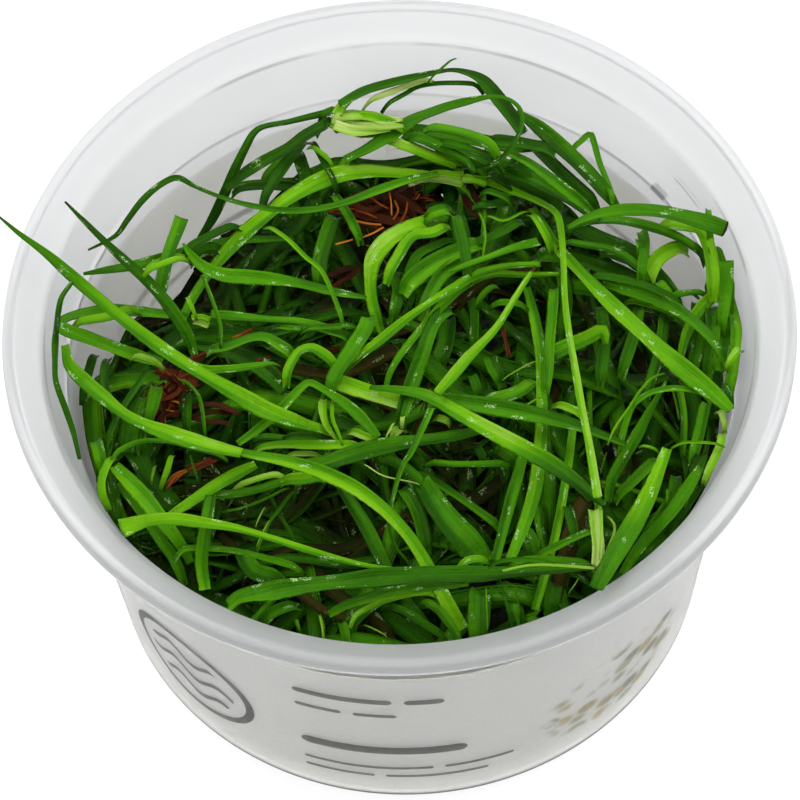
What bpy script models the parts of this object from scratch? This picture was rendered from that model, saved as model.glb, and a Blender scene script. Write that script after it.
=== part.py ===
"""Creeping rush grown in tissue culture, in its clear-walled tub.

Metres, +Z up. The tub stands on its underside at z = 0, centred on the origin, and its print faces -Y.
Run with: blender --background --python part.py
"""

import math

import bmesh
import bpy
import numpy as np
from mathutils import Vector

MM = 0.001

# Tub, in millimetres
RIM_HEIGHT = 57.8  # crest of the rim
RIM_RADIUS = 49.5  # at the crest
LIP_RADIUS = 50.5  # bottom edge of the turned-down lip
LIP_HEIGHT = 55.7
MOUTH_RADIUS = 45.3  # where the wall turns out into the rim
MOUTH_HEIGHT = 54.3
STEP_RADIUS = 43.0  # the small step that a stacked tub rests on
STEP_HEIGHT = 45.7
STEP_WIDTH = 0.5
BODY_RADIUS = 42.65
BODY_HEIGHT = 41.7
FLOOR_RADIUS = 39.5
WALL = 0.7
FLOOR = 1.2
HEEL = 1.0  # rounding of the bottom edge
TUB_STEPS = 56

# Label
LABEL_THICKNESS = 0.25
LABEL_GAP = 0.25
LABEL_BOTTOM = 1.6
LABEL_TOP = 41.5

# Leaves
LEAF_THICKNESS = 0.4
LEAF_CHANNEL = 0.14  # depth of a blade's channel, as a share of its width
LEAF_STEP = 3.8  # length of blade between two cross-sections
LAYER_GAP = 0.45  # from one blade to the next where they cross
WALL_GAP = 0.6
FLOOR_GAP = 0.3
STUB_STEP = 1.4  # length of a leaf base or root ball between two cross-sections

# Undergrowth: the lesser leaves, as one heap that reaches their tips
UNDERGROWTH_HEIGHT = 43.0
UNDERGROWTH_FALL = 5.5  # from its middle to its edge
UNDERGROWTH_SLOPE = 0.11  # it is lower at the far side, +Y
UNDERGROWTH_LUMP = 1.5
UNDERGROWTH_WAVES = ((0.31, 0.27, 0.9), (0.33, -0.24, 0.7), (-0.14, 0.5, 0.5))  # radians a mm, share
UNDERGROWTH_HOLLOWS = (  # x, y, reach, depth
    (-32, 27, 17, 9), (34, 22, 15, 7), (-1, 26, 9, 6), (-9, 16, 8, 4.5), (-9, -19.5, 8, 5), (7, -11, 7, 4),
    (9, -20, 7, 4.5), (-25, -12, 8, 4.5), (-31, -24, 7, 4), (-19.5, -19.5, 7, 4), (29.5, -12, 6, 3.5),
    (21.5, 11.5, 8, 4),
)
UNDERGROWTH_GAP = 0.9  # to the blades that lie on it
UNDERGROWTH_RADIUS = 38.4
UNDERGROWTH_RINGS = 13
UNDERGROWTH_STEPS = 44

# The leaves were drawn in plan where an eye at this point sees them against the plane of the rim
EYE = Vector((0.0, -243.8, 436.0))

# Each leaf from the bottom of the tangle up: x and y on the plane of the rim, height, width
LEAVES = {
    "leaf_01": [(-40, 8, 50.5, 0.4), (-37, 8.4, 50, 1.1), (-34, 8.8, 49, 1.6), (-31, 9.6, 48, 1.4),
                (-28, 10.5, 47, 1.2), (-24, 11.7, 45.5, 1.4), (-19, 12.1, 44, 1.2), (-13, 12, 42, 1)],
    "leaf_02": [(-27.4, 16.1, 50, 1.8), (-28, 14, 49, 1.7), (-28.8, 11.5, 47.5, 1.7),
                (-29.6, 8.5, 45.5, 1.7), (-30.2, 5, 43, 1.6)],
    "leaf_03": [(-7.8, 31.7, 50.5, 1.2), (-10.5, 31.1, 51, 1.1), (-13.5, 30.4, 50.5, 0.9),
                (-16.4, 29.9, 50, 0.9), (-17.8, 28.9, 49.5, 1.1), (-19, 26.5, 48.5, 1.2),
                (-20.5, 23, 46.5, 1.3), (-22, 19, 44, 1.3), (-23.4, 15.6, 41, 1.3), (-25, 12.6, 38, 1)],
    "leaf_04": [(-8.4, 29.8, 49.5, 1.8), (-11, 28.2, 48.7, 1.9), (-13.5, 26.2, 47.8, 1.6),
                (-16.5, 24.4, 46.5, 1.7), (-19.3, 22.4, 45, 1.7), (-21.6, 20.2, 43, 1.2)],
    "leaf_05": [(-26, -3.4, 46, 1.2), (-22.5, -4.3, 46.5, 2.2), (-19, -6, 46.5, 2.6),
                (-16.6, -8.1, 46, 2.4), (-14.6, -10.8, 45, 1.8)],
    "leaf_06": [(-23.8, 1, 46.5, 1.2), (-21, 0.6, 47, 1.4), (-17, -0.1, 47.5, 1.2),
                (-13, -0.6, 47.5, 1.2), (-9.5, -1.7, 47, 1.1), (-6, -3.2, 46, 0.8)],
    "leaf_07": [(1.8, -24.6, 45, 2.2), (3.2, -27.5, 46, 3), (5, -30.6, 46, 3.7), (7, -33.6, 45.5, 4.1),
                (9, -36.8, 45, 3.4)],
    "leaf_08": [(-8.4, -24.6, 46, 1.2), (-6.8, -27.6, 46, 1.8), (-5.3, -30.6, 46, 1.9),
                (-4, -33.8, 45.5, 1.8), (-2.8, -37, 45, 1.4)],
    "leaf_09": [(14.9, -20.8, 47.5, 1.4), (13.8, -24.6, 47.5, 1.5), (12.6, -28.4, 47, 1.5),
                (11.5, -32.4, 46.5, 1.3), (10.4, -36.4, 45.5, 1.1)],
    "leaf_10": [(16.4, 3, 47, 1), (17.2, -2, 47.5, 1.4), (17.6, -7, 48, 1.5), (17.4, -12, 48.5, 1.4),
                (17.2, -17, 48.5, 1.5), (16.6, -22, 48.5, 1.7), (15.7, -27, 48, 1.8),
                (14.2, -31.6, 47.5, 1.7), (12.2, -36.4, 46.5, 1.2)],
    "leaf_11": [(20.9, -18.4, 47, 1), (20.2, -22.6, 47, 1.1), (19.3, -27, 46.5, 1.1), (18.4, -31, 46, 1.1),
                (17.4, -35, 45.5, 1.1), (16.2, -39, 44.5, 1.1), (14.8, -43.4, 43, 1)],
    "leaf_12": [(33, -12, 49, 0.4), (30.4, -16.6, 49, 1), (28.8, -19.6, 48.5, 1.5), (26.9, -22.8, 47.5, 1.5),
                (25.2, -26, 46.5, 1.4), (24.6, -29, 45, 1)],
    "leaf_13": [(36.3, -24.6, 50, 1), (34.4, -27.6, 49.5, 1.8), (32, -30.9, 49, 2), (29.4, -33.8, 48, 1.9),
                (27.2, -36.6, 46.5, 1.5), (25.7, -39, 45, 1)],
    "leaf_14": [(32.4, -21.7, 51.5, 1.3), (31.2, -24.6, 51.5, 1.6), (29.6, -28.2, 51, 2.2),
                (27.6, -31.9, 50, 2.4), (25.4, -35.5, 49, 2.4), (23.6, -38.6, 47.5, 2.3),
                (22.4, -40.8, 46, 1.9)],
    "leaf_15": [(40.4, 0.8, 50.5, 1.5), (38.6, -1, 50.5, 1.6), (36.9, -3.4, 50, 1.5),
                (35.8, -6, 49.5, 1.2), (35, -9, 48.5, 0.9)],
    "leaf_16": [(42, 5.7, 53, 2), (41.8, 2.8, 52, 1.8), (41.3, -0.6, 50.5, 1.6), (40.6, -4.2, 49, 1.4),
                (40, -8, 47, 1.2)],
    "leaf_17": [(26, 3, 49, 0.9), (29, 1.8, 49.5, 1.5), (32, 0.6, 49.7, 1.7), (35, -1.3, 49.5, 1.7),
                (37.5, -3.8, 49, 1.6), (39.6, -6.8, 48, 1.5), (40.8, -10.2, 46, 1)],
    "leaf_18": [(7.2, 14.6, 48, 1.4), (4.4, 13.7, 49.5, 2.3), (1.2, 12.6, 50.5, 2.6), (-1.2, 10.8, 50.5, 2.6),
                (-2.9, 8.2, 49.8, 2.2), (-3.4, 5, 48.8, 1.6), (-3.3, 2, 47.8, 1.5), (-2.8, -0.6, 46.8, 1.5),
                (-2.2, -3.2, 45.5, 0.9)],
    "leaf_19": [(20.8, 4.7, 49, 0.7), (16.4, 4.8, 50, 0.9), (12, 5.1, 50.4, 1.1), (8.4, 3.4, 50.4, 1.2),
                (5.9, 1.2, 50.2, 1.2), (3.9, -1.2, 50, 1.1), (1.9, -3.8, 49.5, 1.1), (0, -6.4, 49, 1),
                (-1.4, -9, 48, 0.8), (-2.2, -12, 46.8, 0.6)],
    "leaf_20": [(18.4, 6.3, 49.6, 0.8), (14.4, 6.3, 51, 1.3), (10.4, 5.3, 51.5, 1.4), (7, 3.2, 51.5, 1.3),
                (4, 1.2, 51.2, 1.1), (1, -1, 50.8, 1.1), (-2, -3.6, 50.3, 1.2), (-5, -6.2, 49.6, 1.3),
                (-7.4, -8.6, 48.6, 1.2), (-9, -10.8, 47.5, 0.8)],
    "leaf_21": [(6.8, 5.8, 50.5, 0.4), (9.2, 6.8, 51, 0.9), (12.2, 7.9, 51.2, 1.1), (15.2, 9, 51, 1.4),
                (18.4, 9.8, 50, 1.4)],
    "leaf_23": [(4.6, 21, 48, 1.1), (1, 21.5, 49.4, 1.6), (-3, 22, 50.4, 2.2), (-7, 21.7, 50.7, 2.2),
                (-10.6, 20.2, 50.4, 2.2), (-14.2, 17.8, 49.7, 2.3), (-17.4, 15, 49, 2.3),
                (-20.2, 12.2, 48.2, 2.2), (-22.4, 9.4, 47.4, 2), (-24.4, 6.4, 46.6, 1.6),
                (-26, 3.6, 46, 1.4), (-27.4, 0.4, 45, 1)],
    "leaf_22": [(-27.2, 12, 50, 0.3), (-26.2, 10.2, 49.8, 1), (-24.7, 8.3, 49.5, 1.7),
                (-22.2, 6.9, 49.2, 2.1), (-19, 6.4, 49, 1.9), (-15.4, 5.8, 48.6, 1.8),
                (-12, 4.9, 48.2, 1.6), (-9, 3.8, 47.6, 1.4), (-6.2, 3, 47, 1), (-4, 2.4, 46.4, 0.5)],
    "leaf_24": [(6, 21.1, 48.6, 1), (2, 20.3, 49, 1.3), (-2, 18.9, 49.8, 1.4), (-6, 17.3, 50.6, 1.3),
                (-10, 16.4, 51.2, 1.1), (-14, 16.4, 51.6, 0.9), (-18, 17.3, 51.8, 0.8),
                (-22, 18.8, 51.8, 0.6), (-25.4, 20.7, 51.6, 0.5), (-27.8, 22.3, 51.2, 0.8),
                (-30, 21.4, 50.8, 0.9), (-32.4, 19, 50.6, 1), (-34.4, 16, 50.4, 0.8),
                (-36, 13.6, 50.2, 0.6), (-39.4, 11.6, 50, 0.3)],
    "leaf_25": [(-26.8, 0.8, 46.5, 1), (-29.6, 1.3, 47.5, 1.3), (-33, 1.9, 49, 1.6), (-36.6, 2.3, 50.2, 1.7),
                (-40, 2, 51.4, 1.7), (-42.3, 1.3, 52.2, 1.6), (-43, 0.4, 52.5, 1.4), (-41.9, -0.5, 52.4, 1.7),
                (-39.4, -1.7, 52, 2), (-36.6, -3.1, 51.4, 1.9), (-33.4, -4.6, 50.6, 1.8),
                (-30, -6, 49.6, 1.4)],
    "leaf_26": [(-14, -22.2, 48.6, 1.8), (-10, -21.6, 49.4, 2.2), (-6, -20.4, 50, 2.4), (-2, -19.5, 50.3, 2.3),
                (2, -19, 50.3, 2), (6, -18.6, 50.1, 1.8), (10.6, -17.8, 49.4, 0.9)],
    "leaf_27": [(4.6, -12.9, 50, 1.5), (8, -13.8, 50.6, 2), (12, -14.8, 51, 2.2), (16, -15.9, 51.2, 2.2),
                (20, -17.3, 51, 2.1), (23.4, -18.8, 50.6, 1.7), (27.4, -21, 49.6, 0.8)],
    "leaf_28": [(-4, -11, 49, 0.6), (-0.6, -11.5, 50, 1.2), (3, -12.5, 51, 1.8), (6, -14.6, 51.8, 2),
                (9, -16.8, 52.2, 2.1), (12, -18.9, 52.5, 2.1), (15, -21, 52.8, 2.1), (18, -23.2, 53.2, 2.1),
                (20.6, -25.6, 53.7, 1.9), (22.6, -27.8, 54.2, 1.5), (24, -29.4, 54.6, 0.7)],
    "leaf_29": [(-29.2, -28.2, 49.4, 1), (-26.6, -26.4, 50, 1.6), (-23.8, -24.4, 50.5, 1.9),
                (-21, -22.7, 50.7, 1.8), (-18.4, -21.4, 50.6, 1.2)],
    "leaf_30": [(-36, -20.6, 50, 1.6), (-34.4, -22.6, 49.8, 2.1), (-32.6, -24.9, 49.5, 2.2),
                (-30.9, -27.4, 49, 2), (-29.2, -30, 48.4, 1.8), (-27.6, -32.6, 47.6, 1.5),
                (-26.6, -34.8, 46.5, 1)],
    "leaf_31": [(-24, -25.4, 49, 1.4), (-24.5, -28.6, 49.6, 1.7), (-25, -31.8, 49.4, 1.6),
                (-25.3, -35, 48.4, 1.6), (-24.9, -38.6, 46.6, 1.5)],
    "leaf_32": [(-35, -29.6, 51.6, 2.6), (-32, -28.7, 52.3, 2), (-28.6, -28.6, 52.6, 1.6),
                (-25, -29.3, 52.6, 1.4), (-21, -30.3, 52.2, 1.2), (-17, -31.8, 51.8, 1),
                (-13, -33.5, 51.4, 1), (-9, -35.1, 51, 0.9), (-5, -36.4, 50.6, 0.7), (-1.4, -37, 50.2, 0.4)],
    "leaf_33": [(-20.6, -19.5, 52.8, 1.3), (-18, -20.2, 53.4, 1.5), (-15, -21, 53.8, 1.6),
                (-12, -22.1, 53.8, 1.7), (-9, -23.6, 53.6, 1.7), (-6, -25.6, 53.2, 1.8),
                (-3, -28.5, 52.4, 1.8), (-0.6, -31.6, 51.2, 1.8), (1, -34.4, 50, 1.8),
                (2.6, -37.9, 48.6, 1.8), (4.4, -42.2, 46.4, 1.9), (5.9, -45.6, 44, 1.8)],
    "leaf_34": [(-10, -42.8, 48, 1), (-7.6, -41.5, 49, 1.5), (-4.6, -40.6, 50, 1.8), (-1, -39.9, 50.8, 1.8),
                (3, -39.6, 51.2, 1.5), (7, -39.4, 51, 0.8)],
    "leaf_35": [(-22.4, -41.4, 47.6, 1.6), (-20.6, -39.8, 49, 2.6), (-17, -39.2, 50.4, 2.8),
                (-13, -38.7, 51.4, 2.2), (-8, -38.3, 52.3, 2.1), (-3, -38, 52.8, 2.3), (2, -37.9, 53, 2.4),
                (6, -38.1, 53, 2.3), (10, -38.2, 53, 2.1), (14, -38, 53, 1.8), (18, -37.9, 52.8, 1.6),
                (21.6, -37.9, 52.4, 1)],
    "leaf_36": [(-20.6, -18.3, 50.4, 1), (-18.2, -16.4, 51, 1.2), (-15.2, -13.5, 52, 1.2),
                (-12.6, -10.6, 52.8, 1.1), (-11.4, -9.9, 53, 1), (-9.4, -11.3, 52.6, 1), (-7.2, -13.1, 52, 1.4),
                (-5.2, -15.3, 51.2, 1.5), (-3.2, -18.2, 50, 0.9)],
    "leaf_37": [(17.8, 6, 54.4, 0.4), (16.4, 3.9, 54.4, 0.8), (14.9, 1.4, 54.2, 0.9), (13.4, -1.2, 54, 0.9),
                (12, -3.3, 53.6, 1), (10.4, -5.1, 53.2, 1.1), (8.6, -7, 52.8, 1.3), (6.6, -9.5, 52.2, 1.4),
                (4.4, -12.2, 51.6, 1.1)],
    "leaf_38": [(-42.5, 19.3, 60, 0.3), (-40.2, 16.4, 59.6, 0.7), (-37.4, 12.9, 58.6, 1),
                (-34.6, 9.6, 57.2, 1.4), (-32, 6.6, 55.6, 1.8), (-29.8, 3.6, 53.8, 1.8), (-28, 0.6, 52, 1.7),
                (-26.6, -2.4, 50, 1.5), (-25.9, -5, 48, 1)],
    "leaf_39": [(-51, 17.4, 62.5, 0.3), (-48.4, 14.7, 61.4, 0.7), (-44.6, 11.2, 60, 1.1), (-42, 8.4, 59, 1.4),
                (-39, 5.1, 57.8, 1.7), (-35.6, 1.5, 56.6, 1.8), (-32, -2, 55.6, 1.9), (-28.4, -5.2, 54.8, 2),
                (-24.4, -8.3, 54, 2.1), (-20.4, -11.2, 53, 2.2), (-17, -13.6, 51.8, 2.2),
                (-13.4, -15.4, 50.4, 2.1), (-9, -17.2, 48.8, 1.4)],
    "leaf_40": [(-42.2, -2.6, 52.6, 1), (-41.6, -5.6, 52.8, 1.5), (-39.8, -8, 53, 1.9), (-37.4, -10.6, 53.2, 2),
                (-35, -13, 53.6, 1.5), (-32.2, -14.9, 54, 1.6), (-29, -16.4, 54.2, 2.2), (-26, -17.7, 54.2, 2.5),
                (-23, -18.8, 54, 2.3), (-20.2, -19.7, 53.6, 1.7)],
    "leaf_41": [(17.8, 15.1, 47.5, 1.1), (19, 12.4, 48.3, 1.3), (20.2, 9.6, 49, 1.4), (22, 6.8, 50, 1.6),
                (24.4, 3.4, 51, 2), (27, -0.2, 52, 2.2), (30, -4, 53, 2.4), (33, -7.7, 53.6, 2.4),
                (36, -11.1, 54, 2.4), (38.8, -14.2, 54, 2.2), (40.6, -16.6, 53.8, 1.5)],
    "leaf_42": [(10.2, 20.2, 47.5, 0.9), (13, 19.3, 48.5, 1.1), (16, 17.6, 49.8, 1.1), (19, 15.8, 51, 1.1),
                (20.8, 14.1, 52, 1), (21.3, 11.6, 52.8, 0.9), (21.3, 7, 53.4, 0.8), (21.2, 1, 54, 0.8),
                (21.4, -5, 54.2, 0.9), (21.9, -11, 54.2, 1), (22.4, -17, 54, 1), (23, -23, 53.6, 1.1),
                (23.4, -28.2, 53, 1.1)],
    "leaf_43": [(0.6, 28.8, 48.6, 1.8), (4, 28.2, 48.8, 2), (8, 27.2, 48.8, 2), (12, 26, 48.6, 1.8),
                (16, 25, 48.2, 1.8), (20.4, 24.8, 47.5, 1.2)],
    "leaf_44": [(1.6, 27.6, 49.2, 1.6), (5, 26.5, 49.8, 2), (9.6, 24.6, 50, 2), (14, 22.2, 50, 2),
                (18, 19.6, 49.8, 2), (22, 16.6, 49.2, 1.9), (25.6, 13.2, 48.4, 1)],
    "leaf_45": [(15.2, 24, 51.3, 0.9), (18, 22, 51.5, 1.3), (21, 19, 51.5, 1.5), (24, 15.8, 51, 1.4),
                (26.4, 12.8, 50, 0.8)],
    "leaf_46": [(16.6, 30.4, 50, 1), (19.4, 27.8, 50.4, 1.8), (22.4, 24.2, 50.6, 2.2), (25.2, 20.4, 50.6, 2.4),
                (27.4, 17, 50, 2), (28.8, 14.4, 49, 1)],
    "leaf_47": [(-6.4, 32.9, 51.8, 1.2), (-3.2, 34.9, 53, 1.6), (0.4, 36, 53.8, 1.4), (4.4, 37, 54.2, 1),
                (8.2, 37.7, 54.2, 0.6), (10.6, 37.1, 54, 1.2), (12.5, 35.7, 53.8, 1.9), (14.2, 33, 53.6, 2.1),
                (15.8, 30, 53.2, 2.1), (17.2, 27, 52.8, 1.7)],
    "leaf_48": [(-6, 24, 51.4, 1.4), (-3, 25.6, 51.8, 1.9), (0, 27.6, 52.4, 2.1), (3, 29.8, 53.2, 2.1),
                (6.4, 31.3, 54.2, 1.6), (10, 32.4, 55, 1.1), (13.4, 33, 55.4, 0.6), (15.8, 32.4, 55.4, 0.6),
                (17.2, 30.6, 55, 0.6), (17.2, 28, 54.2, 0.6), (16, 25.3, 53.2, 0.7), (14, 22.8, 52.2, 0.8),
                (11.6, 21.7, 51.4, 0.5), (8.4, 21.9, 50.6, 0.4)],
    "leaf_49": [(22.2, 11.7, 53, 0.7), (25, 13.2, 54, 1.4), (28.2, 14, 54.8, 1.8), (31.4, 14, 55.4, 2),
                (34.6, 13.5, 55.8, 2.2), (37.6, 12.5, 56.2, 2.4), (40.4, 11.4, 56.6, 2.3),
                (42.4, 10.4, 57, 1.9)],
    "leaf_50": [(-41.4, 6.8, 53, 0.6), (-42.7, 4.6, 53.4, 0.7), (-43.1, 2.4, 53.6, 0.8),
                (-43.3, 0, 53.6, 0.8), (-43.5, -2.4, 53.6, 0.9), (-43.5, -5, 53.6, 0.7),
                (-43.4, -7.6, 53.4, 0.7), (-42.9, -9.6, 53.2, 0.8), (-42.1, -12, 53, 0.8),
                (-41, -15.6, 52.6, 0.7), (-40.2, -19.4, 52.2, 0.5)],
}

# Leaf bases, as x and y on the plane of the rim, height, radius
CROWNS = {
    "crown_left": [(-26, 0.4, 46, 0.6), (-24.8, 0.6, 46.2, 0.7)],
    "crown_middle": [(9.2, 20.7, 47.6, 0.8), (7.2, 20.8, 47.9, 0.85), (5.4, 20.9, 48.2, 0.7)],
    "crown_back": [(-7.3, 30.8, 50.4, 0.8), (-5, 30.2, 50.6, 1.4), (-2.4, 29.5, 50.4, 1.5),
                   (-0.4, 29.1, 50, 1)],
    "crown_front": [(22.5, -37.3, 52.6, 0.6), (22.8, -34, 52.8, 0.65), (23.2, -31, 53, 0.65),
                    (23.4, -29.4, 53.1, 0.6)],
}
ROOTS = {
    "roots_left": [(-28, -7.4, 47.2, 1), (-28.8, -10, 46.6, 1.1), (-29.9, -13.6, 45.8, 0.9)],
    "roots_back": [(-5.4, 15.4, 36, 1.6), (-2.6, 16.6, 38, 3), (0.4, 16.6, 38, 3.4), (3, 16.4, 36.6, 2)],
}
# What each one lies under: the crowns and roots take their place in the tangle before this leaf
TURNS = {
    "crown_left": "leaf_06",
    "roots_left": "leaf_23",
    "roots_back": "leaf_01",
    "crown_middle": "leaf_23",
    "crown_back": "leaf_43",
    "crown_front": "leaf_14",
}

COLOURS = {
    "tub": (0.82, 0.84, 0.83, 1.0),
    "label": (0.78, 0.78, 0.77, 1.0),
    "undergrowth": (0.05, 0.13, 0.02, 1.0),
    "leaf": (0.13, 0.38, 0.03, 1.0),
    "crown": (0.52, 0.62, 0.14, 1.0),
    "roots": (0.30, 0.09, 0.02, 1.0),
}
ROUGHNESS = {"tub": 0.35, "label": 0.55, "undergrowth": 0.6, "leaf": 0.4, "crown": 0.4, "roots": 0.6}


def clear_scene():
    for obj in list(bpy.data.objects):
        bpy.data.objects.remove(obj, do_unlink=True)


def material(name):
    made = bpy.data.materials.new(name)
    made.use_nodes = True
    shader = made.node_tree.nodes["Principled BSDF"]
    shader.inputs["Base Color"].default_value = COLOURS[name]
    shader.inputs["Roughness"].default_value = ROUGHNESS[name]
    shader.inputs["Metallic"].default_value = 0.0
    return made


def add_object(name, data, look, collection):
    obj = bpy.data.objects.new(name, data)
    obj.data.materials.append(look)
    collection.objects.link(obj)
    return obj


def shade_round(obj):
    obj.data.shade_smooth()
    obj.data.set_sharp_from_angle(angle=math.radians(40))


def inner_radius(height):
    """Radius of the tub's inside at a height, in millimetres."""
    heights = (0, BODY_HEIGHT, STEP_HEIGHT, STEP_HEIGHT + STEP_WIDTH, MOUTH_HEIGHT, RIM_HEIGHT)
    radii = (FLOOR_RADIUS, BODY_RADIUS, STEP_RADIUS, STEP_RADIUS + STEP_WIDTH, MOUTH_RADIUS, RIM_RADIUS)
    return float(np.interp(height, heights, radii))


def outer_radius(height):
    """Radius of the tub's outside at a height from its heel to the step, in millimetres."""
    heights = (HEEL, STEP_HEIGHT - WALL / 2)
    return float(np.interp(height, heights, (FLOOR_RADIUS + WALL, STEP_RADIUS + WALL)))


def tub_profile():
    """Up the inside from the middle of the floor, over the rim and down the outside."""
    inside = [
        (0, FLOOR),
        (FLOOR_RADIUS - HEEL, FLOOR),
        (inner_radius(FLOOR + HEEL), FLOOR + HEEL),
        (BODY_RADIUS, BODY_HEIGHT),
        (STEP_RADIUS, STEP_HEIGHT),
        (STEP_RADIUS + STEP_WIDTH, STEP_HEIGHT + STEP_WIDTH),
        (MOUTH_RADIUS, MOUTH_HEIGHT),
        (RIM_RADIUS - WALL, RIM_HEIGHT - WALL / 2),
    ]
    outside = [
        (RIM_RADIUS, RIM_HEIGHT),
        (RIM_RADIUS + WALL, RIM_HEIGHT - WALL / 2),
        (LIP_RADIUS, LIP_HEIGHT),
        (LIP_RADIUS - WALL, LIP_HEIGHT),
        (RIM_RADIUS - WALL / 2, RIM_HEIGHT - 2 * WALL),
        (MOUTH_RADIUS + WALL, MOUTH_HEIGHT - WALL),
        (STEP_RADIUS + STEP_WIDTH + WALL, STEP_HEIGHT + STEP_WIDTH - WALL / 2),
        (STEP_RADIUS + WALL, STEP_HEIGHT - WALL / 2),
        (FLOOR_RADIUS + WALL, HEEL),
        (FLOOR_RADIUS + WALL - HEEL, 0),
        (0, 0),
    ]
    return inside + outside


def turned(name, profile, closed, look, collection):
    """A profile of (radius, height) in millimetres, turned once round the Z axis."""
    mesh = bpy.data.meshes.new(name)
    points = [(radius * MM, 0, height * MM) for radius, height in profile]
    edges = [(i, i + 1) for i in range(len(points) - 1)]
    if closed:
        edges.append((len(points) - 1, 0))
    mesh.from_pydata(points, edges, [])
    obj = add_object(name, mesh, look, collection)
    screw = obj.modifiers.new("turn", "SCREW")
    screw.steps = TUB_STEPS
    screw.render_steps = TUB_STEPS
    screw.use_merge_vertices = True
    screw.merge_threshold = 0.00001
    screw.use_smooth_shade = True
    return obj


def make_tub(look, collection):
    return turned("tub", tub_profile(), False, look, collection)


def make_label(look, collection):
    low = outer_radius(LABEL_BOTTOM) + LABEL_GAP
    high = outer_radius(LABEL_TOP) + LABEL_GAP
    profile = [
        (high, LABEL_TOP),
        (high + LABEL_THICKNESS, LABEL_TOP),
        (low + LABEL_THICKNESS, LABEL_BOTTOM),
        (low, LABEL_BOTTOM),
    ]
    return turned("label", profile, True, look, collection)


def in_place(seen):
    """Points drawn on the plane of the rim, moved along the line of sight to their own heights."""
    eye = np.array(EYE)
    share = (eye[2] - seen[:, 2:]) / (eye[2] - RIM_HEIGHT)
    drawn = np.column_stack([seen[:, :2], np.full(len(seen), RIM_HEIGHT)])
    return eye + (drawn - eye) * share


def smooth_path(points, values, step):
    """A Catmull-Rom curve through the points, read at about every step of length, with its values."""
    points, values = np.array(points), np.array(values)
    ends = np.vstack([2 * points[0] - points[1], points, 2 * points[-1] - points[-2]])
    fine, carried = [], []
    for i in range(len(points) - 1):
        before, start, end, after = ends[i : i + 4]
        for t in np.arange(0, 1, 0.05):
            fine.append(
                0.5
                * (
                    2 * start
                    + (end - before) * t
                    + (2 * before - 5 * start + 4 * end - after) * t**2
                    + (3 * start - before - 3 * end + after) * t**3
                )
            )
            carried.append(values[i] + (values[i + 1] - values[i]) * t)
    fine = np.array(fine + [points[-1]])
    carried = np.array(carried + [values[-1]])
    along = np.concatenate([[0], np.cumsum(np.linalg.norm(np.diff(fine, axis=0), axis=1))])
    stations = np.linspace(0, along[-1], max(4, round(along[-1] / step) + 1))
    path = np.column_stack([np.interp(stations, along, fine[:, k]) for k in range(3)])
    return path, np.interp(stations, along, carried)


def sideways(path):
    """The level direction across a path at each of its points."""
    run = np.gradient(path, axis=0)
    across = np.column_stack([-run[:, 1], run[:, 0], np.zeros(len(run))])
    return across / np.maximum(np.linalg.norm(across, axis=1, keepdims=True), 1e-6)


class Tangle:
    """The height of what lies in the tub so far, on a grid in plan, that each new piece settles on."""

    CELL = 0.5
    REACH = 56.0
    FINE = 0.5  # length between the points that a piece is tested at
    ACROSS = 7  # points tested across a piece's width
    EASE = 5  # points each side that a lift is spread over
    TRIES = 8

    def __init__(self):
        places = np.arange(-self.REACH, self.REACH + self.CELL, self.CELL)
        x, y = np.meshgrid(places, places, indexing="ij")
        radius = np.hypot(x, y)
        self.top = undergrowth_height(x, y) + UNDERGROWTH_GAP - LAYER_GAP
        rim = (radius > MOUTH_RADIUS) & (radius < LIP_RADIUS + self.CELL)
        slope = (RIM_HEIGHT - MOUTH_HEIGHT) / (RIM_RADIUS - MOUTH_RADIUS)
        self.top[rim] = np.minimum(RIM_HEIGHT, MOUTH_HEIGHT + slope * (radius[rim] - MOUTH_RADIUS))
        self.top[radius >= LIP_RADIUS + self.CELL] = 0

    def cells(self, path, widths):
        offsets = np.linspace(-0.5, 0.5, self.ACROSS)
        spread = sideways(path)[:, None, :2] * (offsets[None, :, None] * (widths[:, None, None] + self.CELL))
        places = path[:, None, :2] + spread
        cells = np.rint((places + self.REACH) / self.CELL).astype(int)
        return np.clip(cells, 1, len(self.top) - 2)

    def keep_inside(self, path, widths):
        """Moves points below the rim's crest away from the tub's wall."""
        for point, width in zip(path, widths):
            room = inner_radius(point[2]) - WALL_GAP - width / 2
            reach = math.hypot(point[0], point[1])
            if reach > room and point[2] < RIM_HEIGHT:
                point[:2] *= room / reach

    def settle(self, seen, widths, thickness):
        """The path in its place, lifted to lie over what is there, which it is then added to."""
        for _ in range(self.TRIES):
            path = in_place(seen)
            self.keep_inside(path, widths)
            cells = self.cells(path, widths)
            around = [
                self.top[cells[..., 0] + i, cells[..., 1] + j] for i in (-1, 0, 1) for j in (-1, 0, 1)
            ]
            needed = np.max(around, axis=(0, 2)) + LAYER_GAP + thickness / 2
            lift = np.maximum(0, needed - path[:, 2])
            if lift.max() < 0.01:
                break
            size = 2 * self.EASE + 1
            padded = np.pad(lift, self.EASE, mode="edge")
            highest = np.max([padded[k : k + len(lift)] for k in range(size)], axis=0)
            padded = np.pad(highest, self.EASE, mode="edge")
            eased = np.mean([padded[k : k + len(lift)] for k in range(size)], axis=0)
            seen[:, 2] += np.maximum(lift, eased)
        tops = np.repeat(path[:, 2:] + thickness / 2, self.ACROSS, axis=1)
        np.maximum.at(self.top, (cells[..., 0], cells[..., 1]), tops)
        return path


def hollow_depth(x, y):
    """How far the undergrowth's hollows go down at a place."""
    depth = 0.0
    for middle_x, middle_y, reach, most in UNDERGROWTH_HOLLOWS:
        inside = np.maximum(0, 1 - ((x - middle_x) ** 2 + (y - middle_y) ** 2) / reach**2)
        depth = np.maximum(depth, most * inside**1.5)
    return depth


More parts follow.
